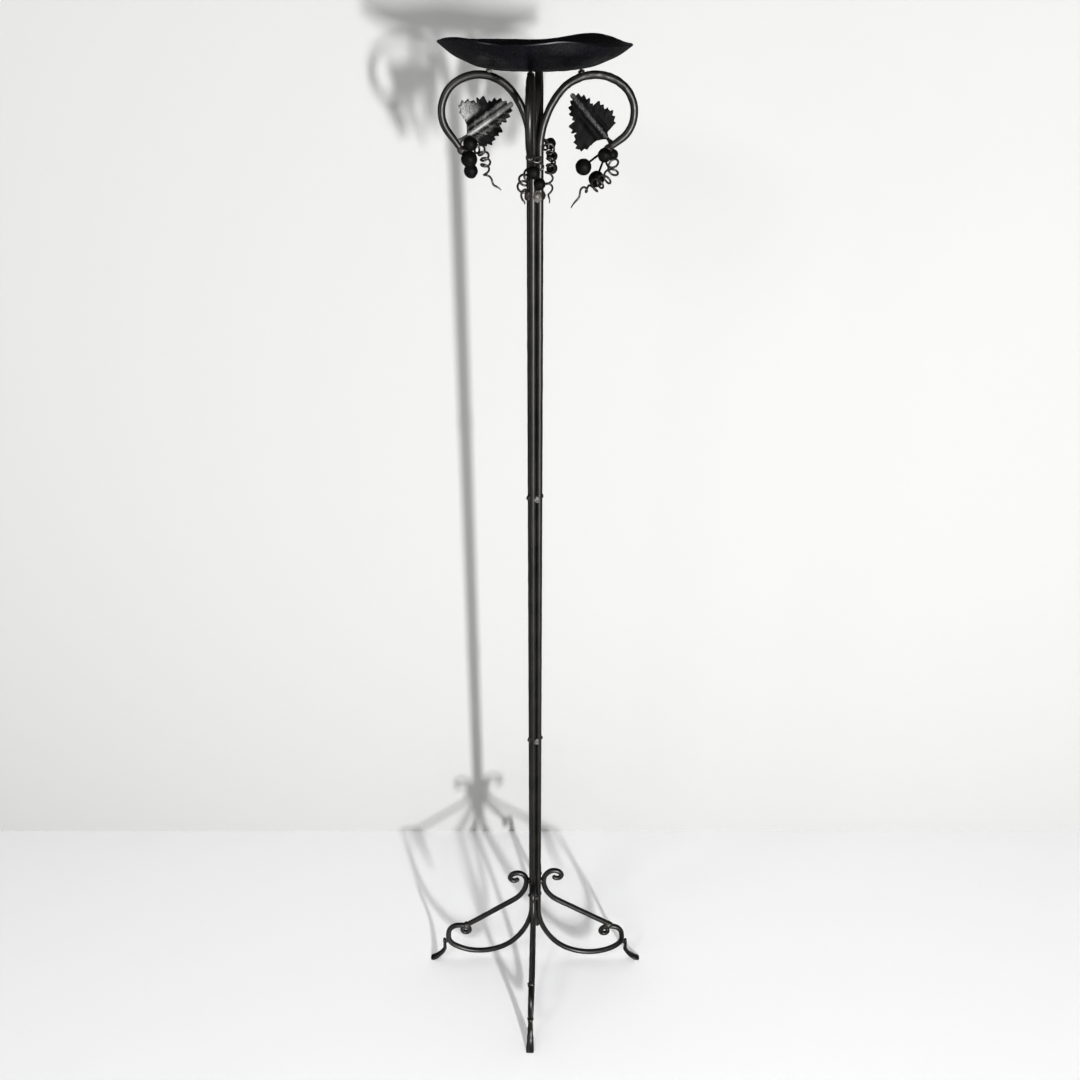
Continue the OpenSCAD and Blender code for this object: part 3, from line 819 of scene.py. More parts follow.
@dataclass
class Dish(Assembly):
    """The raised dish: one sheet from its flat floor to a hand-waved rim."""

    rim_r: float = 98.5
    flat_r: float = 37.0
    thick: float = 2.0
    sides: int = 192
    profile: tuple[tuple[float, float], ...] = ((0, 0), (0.18, 0.06), (0.38, 0.16), (0.58, 0.36),
                                                (0.77, 0.58), (1, 1))
    floor_rings: tuple[float, ...] = (1.5, 12, 24)   # radii of the rings in the flat floor
    waves: tuple[tuple[float, float, float], ...] = (    # height, azimuth and half width of each
        (4, -49, 34), (3.5, 19, 26), (7.5, 142, 40))
    tilt: float = 1.6            # drop of the rim to the right, rise to the left
    dent: float = 0.12
    dent_size: float = 17.0
    dent_from: float = 30.0      # radius at which the hammer marks have their full height
    seed: int = 5
    wall_in: float = 0.35        # how far the inside stands in from the outside at the rim
    lip_out: float = 0.25        # how far the lip is rounded out; both against the thickness

    def rim_wave(self, azimuth: Array) -> Array:
        """Rise of the rim: a squared cosine for each wave, and a sine for the tilt.

        Args:
            azimuth: Degrees from the front toward the right.

        Returns:
            The rise at each azimuth.
        """
        rise = -self.tilt * np.sin(np.radians(azimuth))
        for height, middle, half in self.waves:
            off = np.abs((azimuth - middle + 540) % 360 - 180)
            bump = np.cos(np.radians(90 * np.minimum(off, half) / half)) ** 2
            rise += np.where(off < half, height * bump, 0)
        return rise

    def build(self) -> None:
        """Carries the profile round the axis: outside up to the rim, over it, and back inside."""
        share = np.linspace(0, 1, 40)
        known = np.array(self.profile)
        climb = smooth_curve(known[:, 0], known[:, 1], share)
        azimuth = 360 * np.arange(self.sides) / self.sides
        radius = np.concatenate([self.floor_rings,
                                 self.flat_r + share * (self.rim_r - self.flat_r)])
        level = np.zeros(len(self.floor_rings))
        share = np.concatenate([level, share])
        climb = np.concatenate([level, climb])
        height = (self.drawing.dish_under + climb[:, None] * self.drawing.dish_depth
                  + self.rim_wave(azimuth) * share[:, None] ** 3)
        turn = np.radians(azimuth)
        outer = np.stack([radius[:, None] * np.sin(turn), -radius[:, None] * np.cos(turn),
                          height], axis=-1)
        marks = relief(outer * [1, 1, 0], self.dent_size, self.seed)
        outer[..., 2] += self.dent * marks * np.clip(radius / self.dent_from, 0, 1)[:, None]
        inner = (outer - outer * [1, 1, 0] / self.rim_r * (self.wall_in * self.thick)
                 + [0, 0, self.thick])
        lip = ((outer[-1] + inner[-1]) / 2
               + outer[-1] * [1, 1, 0] / self.rim_r * self.thick * self.lip_out)
        grid = np.concatenate([outer, lip[None], inner[::-1]])
        self.dress(skin("raised_dish", [grid]), "dish")


@dataclass
class Leaves(Assembly):
    """The four pressed leaves on their stalks."""

    length: float = 57.0
    half_width: float = 30.0     # of the broad side
    thick: float = 1.4
    crown: float = 6.0
    stalk: float = 6.5
    stalk_scale: tuple[float, ...] = (1, 1, 1.7, 1.7)
    lift: tuple[float, ...] = (46, 47.6, 36, 33.3)
    back: tuple[float, ...] = (1.2, 1.2, 3.9, 3.9)   # root's distance from the arm's end
    face: tuple[int, ...] = (1, 1, -1, -1)
    # Both sides' outlines from the root to the tip, as shares of the length and the half width
    broad: tuple[tuple[float, float], ...] = (
        (0.00, 0.08), (0.02, 0.13), (0.08, 0.31), (0.10, 0.60), (0.11, 0.82), (0.18, 1.0),
        (0.26, 0.99), (0.36, 0.90), (0.43, 0.72), (0.50, 0.78), (0.60, 0.70), (0.565, 0.48),
        (0.725, 0.47), (0.825, 0.35), (0.90, 0.13), (1.0, 0.02))
    narrow: tuple[tuple[float, float], ...] = (
        (0.00, 0.07), (0.06, 0.13), (0.07, 0.32), (0.08, 0.52), (0.19, 0.63), (0.25, 0.68),
        (0.30, 0.69), (0.345, 0.62), (0.39, 0.59), (0.43, 0.56), (0.555, 0.56), (0.535, 0.27),
        (0.695, 0.355), (0.80, 0.29), (0.875, 0.20), (1.0, 0.02))
    rub_and_highlight: tuple[float, ...] = (0.45, 0.24, 0.45, 0.97)   # how far each leaf's lacquer is rubbed, and how strong its painted highlights are
    rib: tuple[float, ...] = (1, 1.6, 1, 1)             # how broad each leaf's midrib is
    tooth: float = 3.0           # depth of the small teeth
    tooth_pitch: float = 6.0
    tooth_rise: float = 0.7      # share of a tooth that rises
    ridge: float = 2.8           # height of the midrib
    groove: float = 1.2          # depth of the groove on either side of it
    groove_off: float = 3.4      # and its distance
    fold: tuple[float, float] = (6.5, 11.5)   # places of the broad side's fold: crest and foot
    fold_high: tuple[float, float] = (1.6, -1.2)
    fold_wide: float = 2.6
    vein_lines: tuple[tuple[float, float], ...] = (   # start along the leaf, degrees of slant
        (0.02, 66), (0.14, 48), (0.34, 42), (0.52, 38), (0.68, 34))
    vein_high: float = 0.35
    vein_wide: float = 0.8
    dent: float = 0.5
    dent_size: float = 9.0
    seed: int = 77
    rows_per_edge: int = 14
    across: int = 24

    def root(self, station: Station) -> Array:
        """Where a stalk meets the inner side of its arm.

        Args:
            station: The leaf's station.

        Returns:
            [out, across, up].
        """
        mark = along(self.drawing.arm_end(station), Bend(0, -self.back[station.value]), 1)[0]
        lean, off = math.radians(mark[2]), mark[3] + 0.3
        return np.array([mark[0] + off * math.sin(lean), 0, mark[1] - off * math.cos(lean)])

    def outline(self, place: Array) -> tuple[Array, Array]:
        """Both sides' outlines, as along and out for the broad, then the narrow. A saw's teeth
        stand square to the outline: they rise slowly toward the tip and fall back steeply.

        Args:
            place: Places along the outline, counted in points.

        Returns:
            Rows of [broad, narrow] along the leaf, and the same out from the midrib.
        """
        sides = []
        for side in (self.broad, self.narrow):
            known, count = np.array(side), np.arange(len(side))
            edge = np.column_stack([np.interp(place, count, known[:, axis]) for axis in (0, 1)])
            edge = edge * [self.length, self.half_width]
            way = np.gradient(edge, axis=0)
            step = np.linalg.norm(way, axis=1)
            run = np.cumsum(step)
            saw = (run / self.tooth_pitch) % 1
            saw = np.where(saw < self.tooth_rise, saw / self.tooth_rise, (1 - saw) / 0.3) - 0.45
            ease = np.clip((run - 14) / 6, 0, 1) * np.clip((run[-1] - run) / 5, 0, 1)
            out = np.column_stack([-way[:, 1], way[:, 0]]) / np.maximum(step, 1e-6)[:, None]
            sides.append(edge + (self.tooth * saw * ease)[:, None] * out)
        both = np.stack(sides, axis=1)
        return both[..., 0], np.maximum(both[..., 1], 0.3)

    def surface(self, stalk_l: float, rub_and_highlight: float, broad: float) -> tuple[Array, Array]:
        """Closed rings of the leaf in its own plane: [along, across, up].

        A row runs from the broad side's edge over the midrib to the narrow side's. Its height is
        a crown that falls evenly to the narrow side and in a fold on the broad side, less a droop
        toward the tip, plus the midrib's tube between two grooves, and veins out to the lobes.

        Args:
            stalk_l: Length of the stalk.
            rub_and_highlight: How far the leaf is rubbed back to metal and painted with highlight,
                most on the midrib, least in the folds.
            broad: How broad the midrib is.

        Returns:
            A grid of rings by sides by three, and the wear and painted highlight at each point.
        """
        points = len(self.broad) - 1
        place = np.linspace(0, points, points * self.rows_per_edge + 1)
        along_edge, out_edge = self.outline(place)
        share = place / points
        middle = self.length * share ** 1.25 * 0.97
        side = np.linspace(-1, 1, 2 * self.across + 1)
        side = np.sign(side) * np.abs(side) ** 1.35
        pick = (side > 0).astype(int)
        reach = np.abs(side)
        u = middle[:, None] + reach * (along_edge[:, pick] - middle[:, None])
        v = side * out_edge[:, pick]
        q = np.abs(v) / self.half_width
        crown = self.crown * np.where(v < 0, 1 - 2.1 * q + 1.5 * q * q, 1 - q * q)
        crown = crown * np.minimum(1, 0.35 + u / self.length)
        droop = self.crown * 0.6 * (np.maximum(0, u) / self.length) ** 3
        thin = (1 - 0.75 * share)[:, None]
        ridge = np.exp(-(v / (1.5 * thin + 0.4) / broad) ** 2)
        groove = np.exp(-((np.abs(v) - self.groove_off * broad) / 1.4) ** 2)
        rib = self.ridge * ridge * thin - self.groove * groove * thin
        crest, foot = (high * np.exp(-((v + off) / self.fold_wide) ** 2) * thin
                       for high, off in zip(self.fold_high, self.fold))
        marks = relief(np.stack([u, v, 0 * u], axis=-1), self.dent_size, self.seed)
        height = (crown - droop + rib + (crest + foot) + self.veins(u, v)
                  + self.dent * marks * reach)
        top = np.stack([u, v, height], axis=-1)
        # Painted highlight: the broad lobe near the root, pale on the most rubbed leaf
        painted_lobe_highlight = np.clip((-v - 10) / 5, 0, 1) * np.clip(1.4 - 2.4 * u / self.length, 0, 1)
        # Painted highlight along the roll on the midrib's broad side, growing toward the tip
        painted_roll_highlight = np.exp(-((v + 6.0) / 2.4) ** 2) * (0.3 + 0.7 * u / self.length)
        # Wear on the proud midrib and veins, part of it a painted gleam, plus the painted
        # highlights
        rubbed_and_highlighted = (1.1 * np.exp(-(v / 2.0 / broad) ** 2) + 0.6 * painted_roll_highlight + 0.35 * self.veins(u, v)
                  + 0.25 * np.exp(-((v - 7) / 4) ** 2)) * rub_and_highlight + 0.7 * painted_lobe_highlight * rub_and_highlight ** 4
        rubbed_and_highlighted = np.clip(rubbed_and_highlighted, 0, 1) * np.clip((1 - reach) * 12, 0.2, 1)
        stalk_share = np.linspace(0, 1, 9)[:-1, None]
        stalk_half = 1.9 - 0.2 * stalk_share + 1.2 * (1 - stalk_share) ** 4
        root_height = self.crown * 0.35 * stalk_share ** 2
        bow = np.sqrt(1 - side ** 2 * 0.98) * stalk_half
        stalk = np.stack([np.repeat((stalk_share - 1) * stalk_l, len(side), 1),
                          side * stalk_half, root_height + bow], axis=-1)
        top = np.concatenate([stalk, top])
        rubbed_and_highlighted = np.concatenate([np.full(stalk.shape[:2], 0.4 * rub_and_highlight), rubbed_and_highlighted])
        under = top[:, ::-1].copy()
        under[:, :, 2] -= self.thick * 0.8
        under[:len(stalk), :, 2] = (root_height - bow * 0.8)[:, ::-1]
        return (np.concatenate([top, under], axis=1),
                np.concatenate([rubbed_and_highlighted, rubbed_and_highlighted[:, ::-1]], axis=1))

    def veins(self, u: Array, v: Array) -> Array:
        """Raised side veins: ridges along lines that leave the midrib at a slant.

        Args:
            u: Places along the leaf.
            v: Places across it, broad side below zero.

        Returns:
            The height that the veins add at each place.
        """
        height = np.zeros_like(u)
        for start, slant in self.vein_lines:
            lean = math.radians(slant)
            off = (u - start * self.length) * math.sin(lean) - np.abs(v) * math.cos(lean)
            ridge = self.vein_high * np.exp(-(off / self.vein_wide) ** 2)
            height += ridge * (np.abs(v) > 1.5) * np.where(v < -12, 0.4, 1)
        return height

    def build(self) -> None:
        """Lays each leaf in its arm's plane, lifted above the level, and faces it outwards."""
        for station in Station:
            number = station.value
            stalk_l = self.stalk * self.stalk_scale[number]
            flat, rubbed_and_highlighted = self.surface(stalk_l, self.rub_and_highlight[number], self.rib[number])
            lift, face = math.radians(180 - self.lift[number]), self.face[number]
            u, v, w = flat[..., 0] + stalk_l, -flat[..., 1] * face, flat[..., 2] * face
            out = u * math.cos(lift) - v * math.sin(lift)
            up = u * math.sin(lift) + v * math.cos(lift)
            points = np.stack([out, -w, up], axis=-1) + self.root(station)
            placed = self.drawing.place(station, points)
            self.dress(skin(f"pressed_leaf_{station.word}", [placed], rubbed_and_highlighted),
                       f"leaf_{station.word}")


@dataclass
class Clusters(Assembly):
    """What hangs at each arm's end: grapes on wires, and a coiled tendril."""

    wire: bpy.types.Material
    face: tuple[int, ...] = (1, 1, -1, -1)
    stem_d: float = 2.4
    stem_sag: float = 0.8
    hangs_from: dict[tuple[Station, int], int] = field(    # balls that hang from another ball
        default_factory=lambda: {(Station.REAR, 1): 0, (Station.REAR, 2): 1})
    # Each station's balls: [out, across, up] of the middle, counted from the knob, and diameter
    grapes: tuple[tuple[tuple[float, float, float, float], ...], ...] = (
        ((-1, 3.3, -14, 12.6), (-9, 9, -26, 12)),
        ((-4.4, -12.5, -5, 14.6), (5.3, 7, -6.8, 12), (-25.8, -2, -17.9, 17), (-11, 7, -31.4, 17)),
        ((0, 12.5, -3.5, 12.6), (-3, 14.5, -16.5, 12.4), (-4, 14.5, -29.3, 12.6)),
        ((-9.7, -10, 7.5, 14), (-7.8, -4.5, -8.5, 16.4), (-8.5, 12, -22.5, 14.2)))
    swell: tuple[float, ...] = (1, 1, 1, 1.06)    # of each station's balls, which are cast uneven
    seam: float = 0.12           # height of a ball's casting seam
    dent: float = 0.15
    dent_size: float = 7.0
    seed: int = 80
    # What each tendril winds round: one point a turn, counted from the knob
    routes: tuple[tuple[tuple[float, float, float], ...], ...] = (
        ((-4.6, 1, -1), (-9, 7, -4), (-13, 8, -9), (-14, 2, -14.5), (-12, -5, -19), (-9, -8, -25),
         (-7, -8, -32), (-6, -6, -45)),
        ((0, -1, -4.8), (3, -4, -11.5), (6, -9, -17.5), (2, -12, -25), (-5.5, -13, -30.5),
         (-12, -13, -34), (-18.5, -11, -39.5), (-26, -9, -40), (-38.5, -6, -59)),
        ((-4.8, 1, 0), (-12, 5, -2), (-17, 12, -7), (-18, 14, -14), (-18, 13.5, -21),
         (-18, 13.5, -28), (-18, 11, -38), (-18, 12.5, -49), (-18, 12, -65)),
        ((-4.7, 1, 0), (-13, 4, 1.5), (-19.5, 3, 0), (-23.5, 3, -6), (-25, 3, -12.5),
         (-24.5, 3, -19.5), (-28.5, 3, -29.5), (-41, 3, -41)))
    fade: tuple[float, ...] = (0.6, 1.3, 0.8, 1.2)   # turns over which each tendril's end fades
    lean: tuple[float, ...] = (58, 40, 40, 40)       # of each tendril's turns
    hand: tuple[int, ...] = (-1, 1, 1, 1)            # way that each tendril turns
    loose: tuple[float, ...] = (1, 1.25, 1, 1)       # how much wider each tendril's turns are
    tendril_d: float = 2.3
    coil_r: float = 4.8
    end_r: float = 2.4
    rings_per_turn: int = 28
    wire_sides: int = 12

    def at_knob(self, station: Station, points: Array) -> Array:
        """Turns points that are counted from a station's knob into the stand's frame."""
        flipped = points * [1, self.face[station.value], 1]
        return self.drawing.place(station, flipped + self.drawing.knob(station))

    def grape(self, station: Station, number: int) -> list[Array]:
        """A ball with a faint seam, and the wire that carries it.

        Args:
            station: The cluster's station.
            number: Which of its balls.

        Returns:
            The ball's grid and the wire's, counted from the knob.
        """
        spot = self.grapes[station.value][number]
        carrier = self.hangs_from.get((station, number))
        start = (np.zeros(3) if carrier is None
                 else np.array(self.grapes[station.value][carrier][:3]))
        seed = self.seed + 7 * station.value + number
        middle = np.array(spot[:3])
        radius = spot[3] / 2 * self.swell[station.value]
        round_ball = ball(middle, [radius] * 3, 30, 40)
        spoke = (round_ball - middle) / radius
        seam = self.seam * np.exp(-((spoke[..., 2] - 0.25) / 0.06) ** 2)
        marks = self.dent * relief(round_ball, self.dent_size, seed)
        round_ball = round_ball + spoke * (seam + marks)[..., None]
        share = np.linspace(0.02, 1, 12)[:, None]
        sag = np.sin(share * math.pi) * np.array([0, 0, self.stem_sag])
        path = start + (middle - start) * share + sag
        return [round_ball, space_tube(path, np.full(12, self.stem_d / 2), self.wire_sides)]

    @staticmethod
    def run(route: Array, turn: Array) -> Array:
        """The route's curve: it passes through every point with the slope of its neighbours.

        Args:
            route: One point a turn.
            turn: Places along it, counted in turns.

        Returns:
            Rows of [out, across, up].
        """
        last = len(route) - 1
        j = np.clip(np.floor(turn).astype(int), 0, last - 1)
        wide = np.vstack([2 * route[0] - route[1], route, 2 * route[-1] - route[-2]])
        a, b, c, d = (wide[j + k] for k in range(4))
        f = (turn - j)[:, None]
        return (b + f * (c - a) / 2 + f ** 2 * (a - 2.5 * b + 2 * c - d / 2)
                + f ** 3 * (-a + 3 * b - 3 * c + d) / 2)

    def coil(self, station: Station) -> Array:
        """Tendril: turns that lean against their route, grow over the first turn, hold, and fade
        into a straight tail.

        Args:
            station: The cluster's station.

        Returns:
            A grid of rings by sides by three, counted from the knob.
        """
        route = np.array(self.routes[station.value], float)
        last = len(route) - 1
        count = last * self.rings_per_turn
        turn = last * np.arange(count + 1) / count
        line = self.run(route, turn)
        way = self.run(route, turn + 0.1) - self.run(route, turn - 0.1)
        way /= np.linalg.norm(way, axis=1)[:, None]
        sight = [1, 0, 0] if station in (Station.FRONT, Station.REAR) else [0, 1, 0]
        first = np.cross(sight, way)
        first /= np.linalg.norm(first, axis=1)[:, None]
        lean = math.radians(self.lean[station.value])
        second = math.cos(lean) * np.cross(way, first) + math.sin(lean) * way
        left = last - turn
        fade = self.fade[station.value]
        radius = np.interp(left, [0, fade, 2 * fade], [0, self.end_r, self.coil_r])
        radius *= np.minimum(1, turn * 8 / 9)
        radius *= self.loose[station.value]
        angle = 2 * math.pi * turn * self.hand[station.value]
        spoke = np.cos(angle)[:, None] * first + np.sin(angle)[:, None] * second
        path = line + radius[:, None] * spoke
        half = self.tendril_d / 2 * np.minimum(1, 0.5 + (count - np.arange(count + 1)) / 20)
        return space_tube(path, half, self.wire_sides)

    def build(self) -> None:
        """Makes each station's grapes and tendril."""
        for station in Station:
            grids = []
            for number in range(len(self.grapes[station.value])):
                grids += [self.at_knob(station, grid) for grid in self.grape(station, number)]
            self.dress(skin(f"cast_grapes_{station.word}", grids), f"grapes_{station.word}")
            placed = self.at_knob(station, self.coil(station))
            piece = skin(f"bent_tendril_{station.word}", [placed])
            self.dress(piece, f"tendril_{station.word}", finish=self.wire)


@dataclass
class Welds(Assembly):
    """Weld beads: lumpy runs in the stem's grooves, and the rest in their own places."""

    dark: bpy.types.Material
    low: float = 0.30            # share of the straight bars' height of the lower beads
    high: float = 0.64           # and of the upper ones
    star_drop: float = 45.0      # from the straight bars' upper end
    base_rise: float = 27.0      # from their lower end
    bead_d: float = 8.0
    star_d: float = 10.0
    tab_r: float = 47.5          # distance of the beads under the dish from the stand's axis

    def beads(self, node: str, height: float, size: float, seed: int) -> bpy.types.Object:
        """Four beads in the grooves between neighbouring bars: the first, beside the front bar,
        shows bare metal, and the others are under the lacquer.

        Args:
            node: The CAD node that they replace.
            height: Their height above the floor.
            size: Their diameter.
            seed: Start of the random numbers.

        Returns:
            The piece that shows bare metal.
        """
        d = self.drawing
        grids = []
        for number in range(4):
            angle = math.radians(number * 90 - 45 - d.bundle_turn)
            reach = d.pitch_r * 0.5 + d.half
            middle = [reach * math.cos(angle), reach * math.sin(angle), height]
            grids.append(run_metal(middle, [size / 2, size / 2, size / 2 * 1.15], (26, 36),
                                   size / 2, [(0.5, 4.5, seed + number),
                                              (0.2, 1.8, seed + 9 + number)]))
        self.dress(skin(f"run_{node}_sides", grids[1:]), node, finish=self.dark)
        return self.dress(skin(f"run_{node}", grids[:1]), node)

    def knobs(self) -> None:
        """The lump at each arm's end, where a cluster's wires and stalk meet."""
        grids = []
        for station in Station:
            middle = self.drawing.knob(station)
            grid = run_metal(middle, [4.7, 4.6, 4.5], (22, 32), 4.6,
                             [(0.35, 4, 291 + station.value)])
            grids.append(self.drawing.place(station, grid))
        self.dress(skin("run_arm_knobs", grids), "arm_knobs", finish=self.dark)

    def landings(self, braces: Braces) -> None:
        """The lump where each brace lands on its leg's crown or curl.

        Args:
            braces: The braces, which know their landings.
        """
        grids = []
        for station in Station:
            out, up = braces.landing(station)[:2]
            middle = [out - 1, 0, up + 1 + 0.6 * braces.rise[station.value]]
            grid = run_metal(middle, [5.7, 5.5, 5.7], (24, 34), 5.6,
                             [(0.4, 4, 301 + station.value)])
            grids.append(self.drawing.place(station, grid))
        self.dress(skin("run_scroll_welds", grids), "scroll_welds", finish=self.dark)

    def under_dish(self) -> None:
        """One bead on each arm's crest, run up to the dish's underside; the left one is bare."""
        grids = []
        for station in Station:
            middle = [self.tab_r, -0.6, self.drawing.dish_under - 1.6]
            grid = run_metal(middle, [3.2, 3.6, 2.5], (20, 28), 3,
                             [(0.4, 3.5, 281 + station.value)])
            grids.append(self.drawing.place(station, grid))
        self.dress(skin("run_dish_tabs_dark", grids[:3]), "dish_tabs", finish=self.dark)
        self.dress(skin("run_dish_tabs", grids[3:]), "dish_tabs")

    def build(self, braces: Braces) -> None:
        """Makes the beads that show their run metal, and paints the other nodes.

        Args:
            braces: The braces, for the lumps at their landings.
        """
        low, high = self.drawing.leg_start[1], self.drawing.arm_start(Station.FRONT)[1]
        self.beads("star_welds", high - self.star_drop, self.star_d, 201)
        self.beads("upper_welds", low + self.high * (high - low), self.bead_d, 221)
        self.beads("lower_welds", low + self.low * (high - low), self.bead_d, 241)
        base = self.beads("base_welds", low + self.base_rise, self.bead_d, 261)
        base.data.materials[0] = self.dark
        self.under_dish()
        self.knobs()
        self.landings(braces)
        for node in ("brace_welds", "foot_welds"):
            paint(node, self.dark)


def paint(node: str, finish: bpy.types.Material) -> None:
    """Gives a CAD node its finish and leaves its mesh alone.

    Args:
        node: The node's name.
        finish: Its finish.
    """
    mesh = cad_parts[node].data
    mesh.materials.clear()
    mesh.materials.append(finish)
    log.info("%s keeps its shape", node)


# --- the studio ---------------------------------------------------------------------------


@dataclass
class Studio:
    """Floor, wall, lamps and camera, in metres."""

    distance: float = 1.118      # camera in front of the stem
    height: float = 1.369        # and above the floor
    pitch: float = 27.96         # degrees below the level
    azimuth: float = 1.8         # toward the right
    lens: float = 33.07          # millimetres, on a sensor of 36
    shift: float = 0.0046
    wall_y: float = 0.285        # wall behind the stem
    wall_half: float = 4.0       # half its width, and its height
    floor_half: float = 5.0
    sectors: int = 4             # of the floor painted pale in what the lacquer mirrors: painted pools of light
    fill: float = 0.14           # strength of the world's light
    sky: float = 0.8             # and what the eye sees of it past the floor's edge
    floor_tone: str = "#fafafb"
    wall_tone: str = "#b1b1b0"
    painted_room_reflection: str = "#303030"         # painted reflection: a dim room that the lacquer mirrors in place of the pale floor and wall
    white: str = "#ffffff"

    def build(self) -> None:
        """Sets the scene around the stand: the floor and wall lie square to the camera, and the
        key lamp stands low in front at the right, so the shadows fall back to the left."""
        wall, half, floor = self.wall_y, self.wall_half, self.floor_half
        self.stage_plane("floor", [(-floor, -floor, 0), (floor, -floor, 0), (floor, floor, 0),
                                   (-floor, floor, 0)], self.floor_tone, True)
        self.stage_plane("wall", [(-half, wall, 0), (half, wall, 0), (half, wall, half),
                                  (-half, wall, half)], self.wall_tone, False)
        self.lamp("key", (1.42, -3.5, 0.97), (0, 0, 0.7), (0.14, 0.34), 216)
        self.lamp("window", (-1.75, -1.1, 1.0), (0, 0, 0.8), (0.25, 1.7), 7)
        self.lamp("high", (-1.8, -2.4, 2.8), (0, 0, 0.8), (0.7, 0.7), 18)
        self.lamp("low", (0.05, -1.25, 0.3), (0, 0, 0.8), (0.08, 0.4), 3.2)
        self.surround()
        self.camera()
        bpy.context.scene.view_settings.view_transform = "Standard"

    def stage_plane(self, name: str, corners: Sequence[tuple[float, float, float]],
                    colour: str, painted_light_sectors: bool) -> None:
        """Adds one plane of the backdrop.

        Args:
            name: Its name.
            corners: Its corners, before it is turned to the camera.
            colour: What the eye sees.
            painted_light_sectors: Whether pale sectors round the stand, by the sine of so many
                times the direction, are painted into what the lacquer mirrors of it: painted pools
                of light, which the bars show as highlight lines. It mirrors the rest as a painted
                dim room. A plane without them can't be seen from behind, so the stand shows from
                there too.
        """
        mesh = bpy.data.meshes.new(name)
        turn = math.radians(self.azimuth)
        mesh.from_pydata([(x * math.cos(turn) - y * math.sin(turn),
                           x * math.sin(turn) + y * math.cos(turn), z)
                          for x, y, z in corners], [], [(0, 1, 2, 3)])
        plane = bpy.data.objects.new(name, mesh)
        bpy.context.scene.collection.objects.link(plane)
        material = bpy.data.materials.new(f"matt_{name}")
        material.use_nodes = True
        tree = material.node_tree
        surface = tree.nodes["Principled BSDF"]
        # Painted reflection: glossy rays see the plane as a dim room
        glossy = add(tree, "ShaderNodeLightPath").outputs["Is Glossy Ray"]
        mix = add(tree, "ShaderNodeMix", {".data_type": "RGBA", "A": linear(colour),
                  "B": linear(self.painted_room_reflection)}, {"Factor": glossy})
        if painted_light_sectors:
            # Painted pools of light: pale sectors that only the lacquer's reflections see
            place = add(tree, "ShaderNodeTexCoord").outputs["Object"]
            way = add(tree, "ShaderNodeTexGradient", {".gradient_type": "RADIAL"},
                      {"Vector": place})
            often = add(tree, "ShaderNodeMath", {".operation": "MULTIPLY",
                        1: self.sectors * 2 * math.pi}, {0: way.outputs["Fac"]})
            lobes = add(tree, "ShaderNodeMath", {".operation": "SINE"}, {0: often.outputs[0]})
            share = add(tree, "ShaderNodeMapRange", {"From Min": 0.3, "From Max": 0.8},
                        {"Value": lobes.outputs[0]})
            painted_light_pools = add(tree, "ShaderNodeMix", {".data_type": "RGBA", "A": linear(self.painted_room_reflection),
                        "B": linear(self.white)}, {"Factor": share.outputs[0]})
            tree.links.new(painted_light_pools.outputs["Result"], mix.inputs["B"])
        tree.links.new(mix.outputs["Result"], surface.inputs["Base Color"])
        surface.inputs["Roughness"].default_value = 0.9
        surface.inputs["Specular IOR Level"].default_value = 0.1
        if not painted_light_sectors:
            behind = add(tree, "ShaderNodeNewGeometry").outputs["Backfacing"]
            clear = add(tree, "ShaderNodeBsdfTransparent")
            sheer = add(tree, "ShaderNodeMixShader", {},
                        {0: behind, 1: surface.outputs[0], 2: clear.outputs[0]})
            output = tree.nodes["Material Output"]
            tree.links.new(sheer.outputs[0], output.inputs["Surface"])
        mesh.materials.append(material)

    def lamp(self, name: str, place: tuple[float, float, float],
             target: tuple[float, float, float], size: tuple[float, float],
             power: float) -> None:
        """Adds a soft lamp that looks at a target.

        Args:
            name: Its name.
            place: Where it stands.
            target: Where it looks.
            size: Its width and height.
            power: Its power in watts.
        """
        light = bpy.data.lights.new(name, "AREA")
        light.shape = "RECTANGLE"
        light.size, light.size_y = size
        light.energy = power
        lamp = bpy.data.objects.new(name, light)
        bpy.context.scene.collection.objects.link(lamp)
        aim(lamp, place, target)

    def surround(self) -> None:
        """A plain world that fills the shadows, and that the lacquer doesn't mirror."""
        world = bpy.data.worlds.new("studio")
        world.use_nodes = True
        tree = world.node_tree
        shade = tree.nodes["Background"]
        shade.inputs["Color"].default_value = linear(self.white)
        seen = add(tree, "ShaderNodeLightPath").outputs["Is Camera Ray"]
        level = add(tree, "ShaderNodeMapRange", {"To Min": self.fill, "To Max": self.sky},
                    {"Value": seen})
        tree.links.new(level.outputs[0], shade.inputs["Strength"])
        bpy.context.scene.world = world
        world.cycles_visibility.glossy = False

    def camera(self) -> None:
        """Places the camera as the photograph was taken."""
        eye = bpy.data.cameras.new("view")
        eye.lens = self.lens
        eye.sensor_width = 36
        eye.shift_x = self.shift
        view = bpy.data.objects.new("view", eye)
        bpy.context.scene.collection.objects.link(view)
        turn = math.radians(self.azimuth)
        view.location = (self.distance * math.sin(turn), -self.distance * math.cos(turn),
                         self.height)
        view.rotation_euler = (math.radians(90 - self.pitch), 0, turn)
        bpy.context.scene.camera = view


def aim(thing: bpy.types.Object, place: tuple[float, float, float],
        target: tuple[float, float, float]) -> None:
    """Puts a lamp at a place and turns it to a target.

    Args:
        thing: The lamp.
        place: Where it stands.
        target: Where it looks.
    """
    across, deep, down = (t - p for t, p in zip(target, place))
    flat = math.hypot(across, deep)
    thing.location = place
    thing.rotation_euler = (math.atan2(flat, -down), 0, math.atan2(-across, deep))


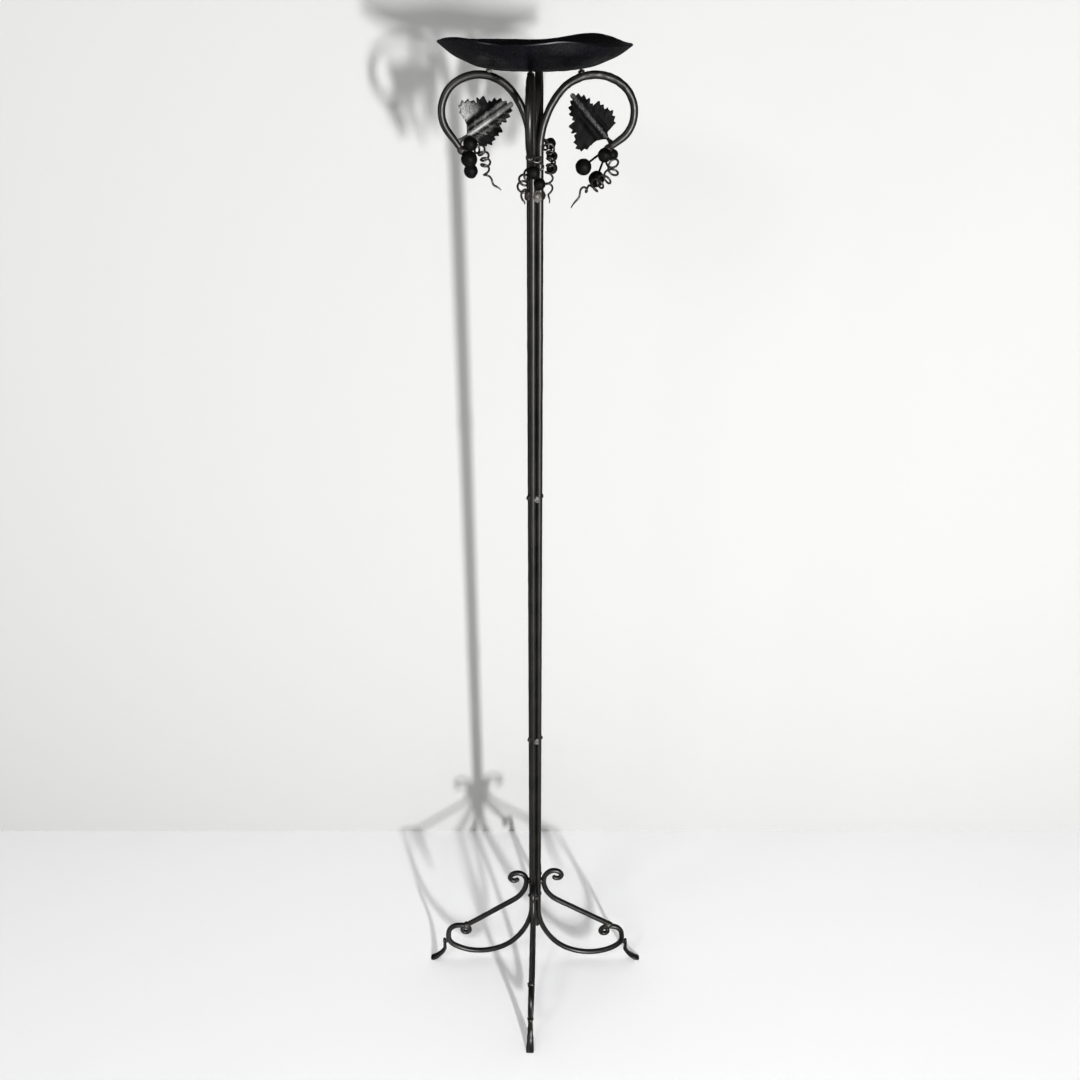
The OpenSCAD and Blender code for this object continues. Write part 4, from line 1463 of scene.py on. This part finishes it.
def main() -> None:
    """Builds the sub-assemblies in order, then the studio."""
    logging.basicConfig(level=logging.INFO)
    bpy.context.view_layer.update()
    drawing = Drawing()
    bar, dish, leaf, grape, wire, weld, dark_weld = (
        finish.build() for finish in (BAR, DISH, LEAF, GRAPE, WIRE, WELD, DARK_WELD))
    Bars(drawing, bar, "iron").build()
    braces = Braces(drawing, bar, "iron")
    braces.build()
    Feet(drawing, bar, "iron").build()
    Dish(drawing, dish, "dish").build()
    Leaves(drawing, leaf, "leaf").build()
    Clusters(drawing, grape, "grape", wire).build()
    Welds(drawing, weld, "weld", dark_weld).build(braces)
    Studio().build()


if __name__ == "__main__":
    main()
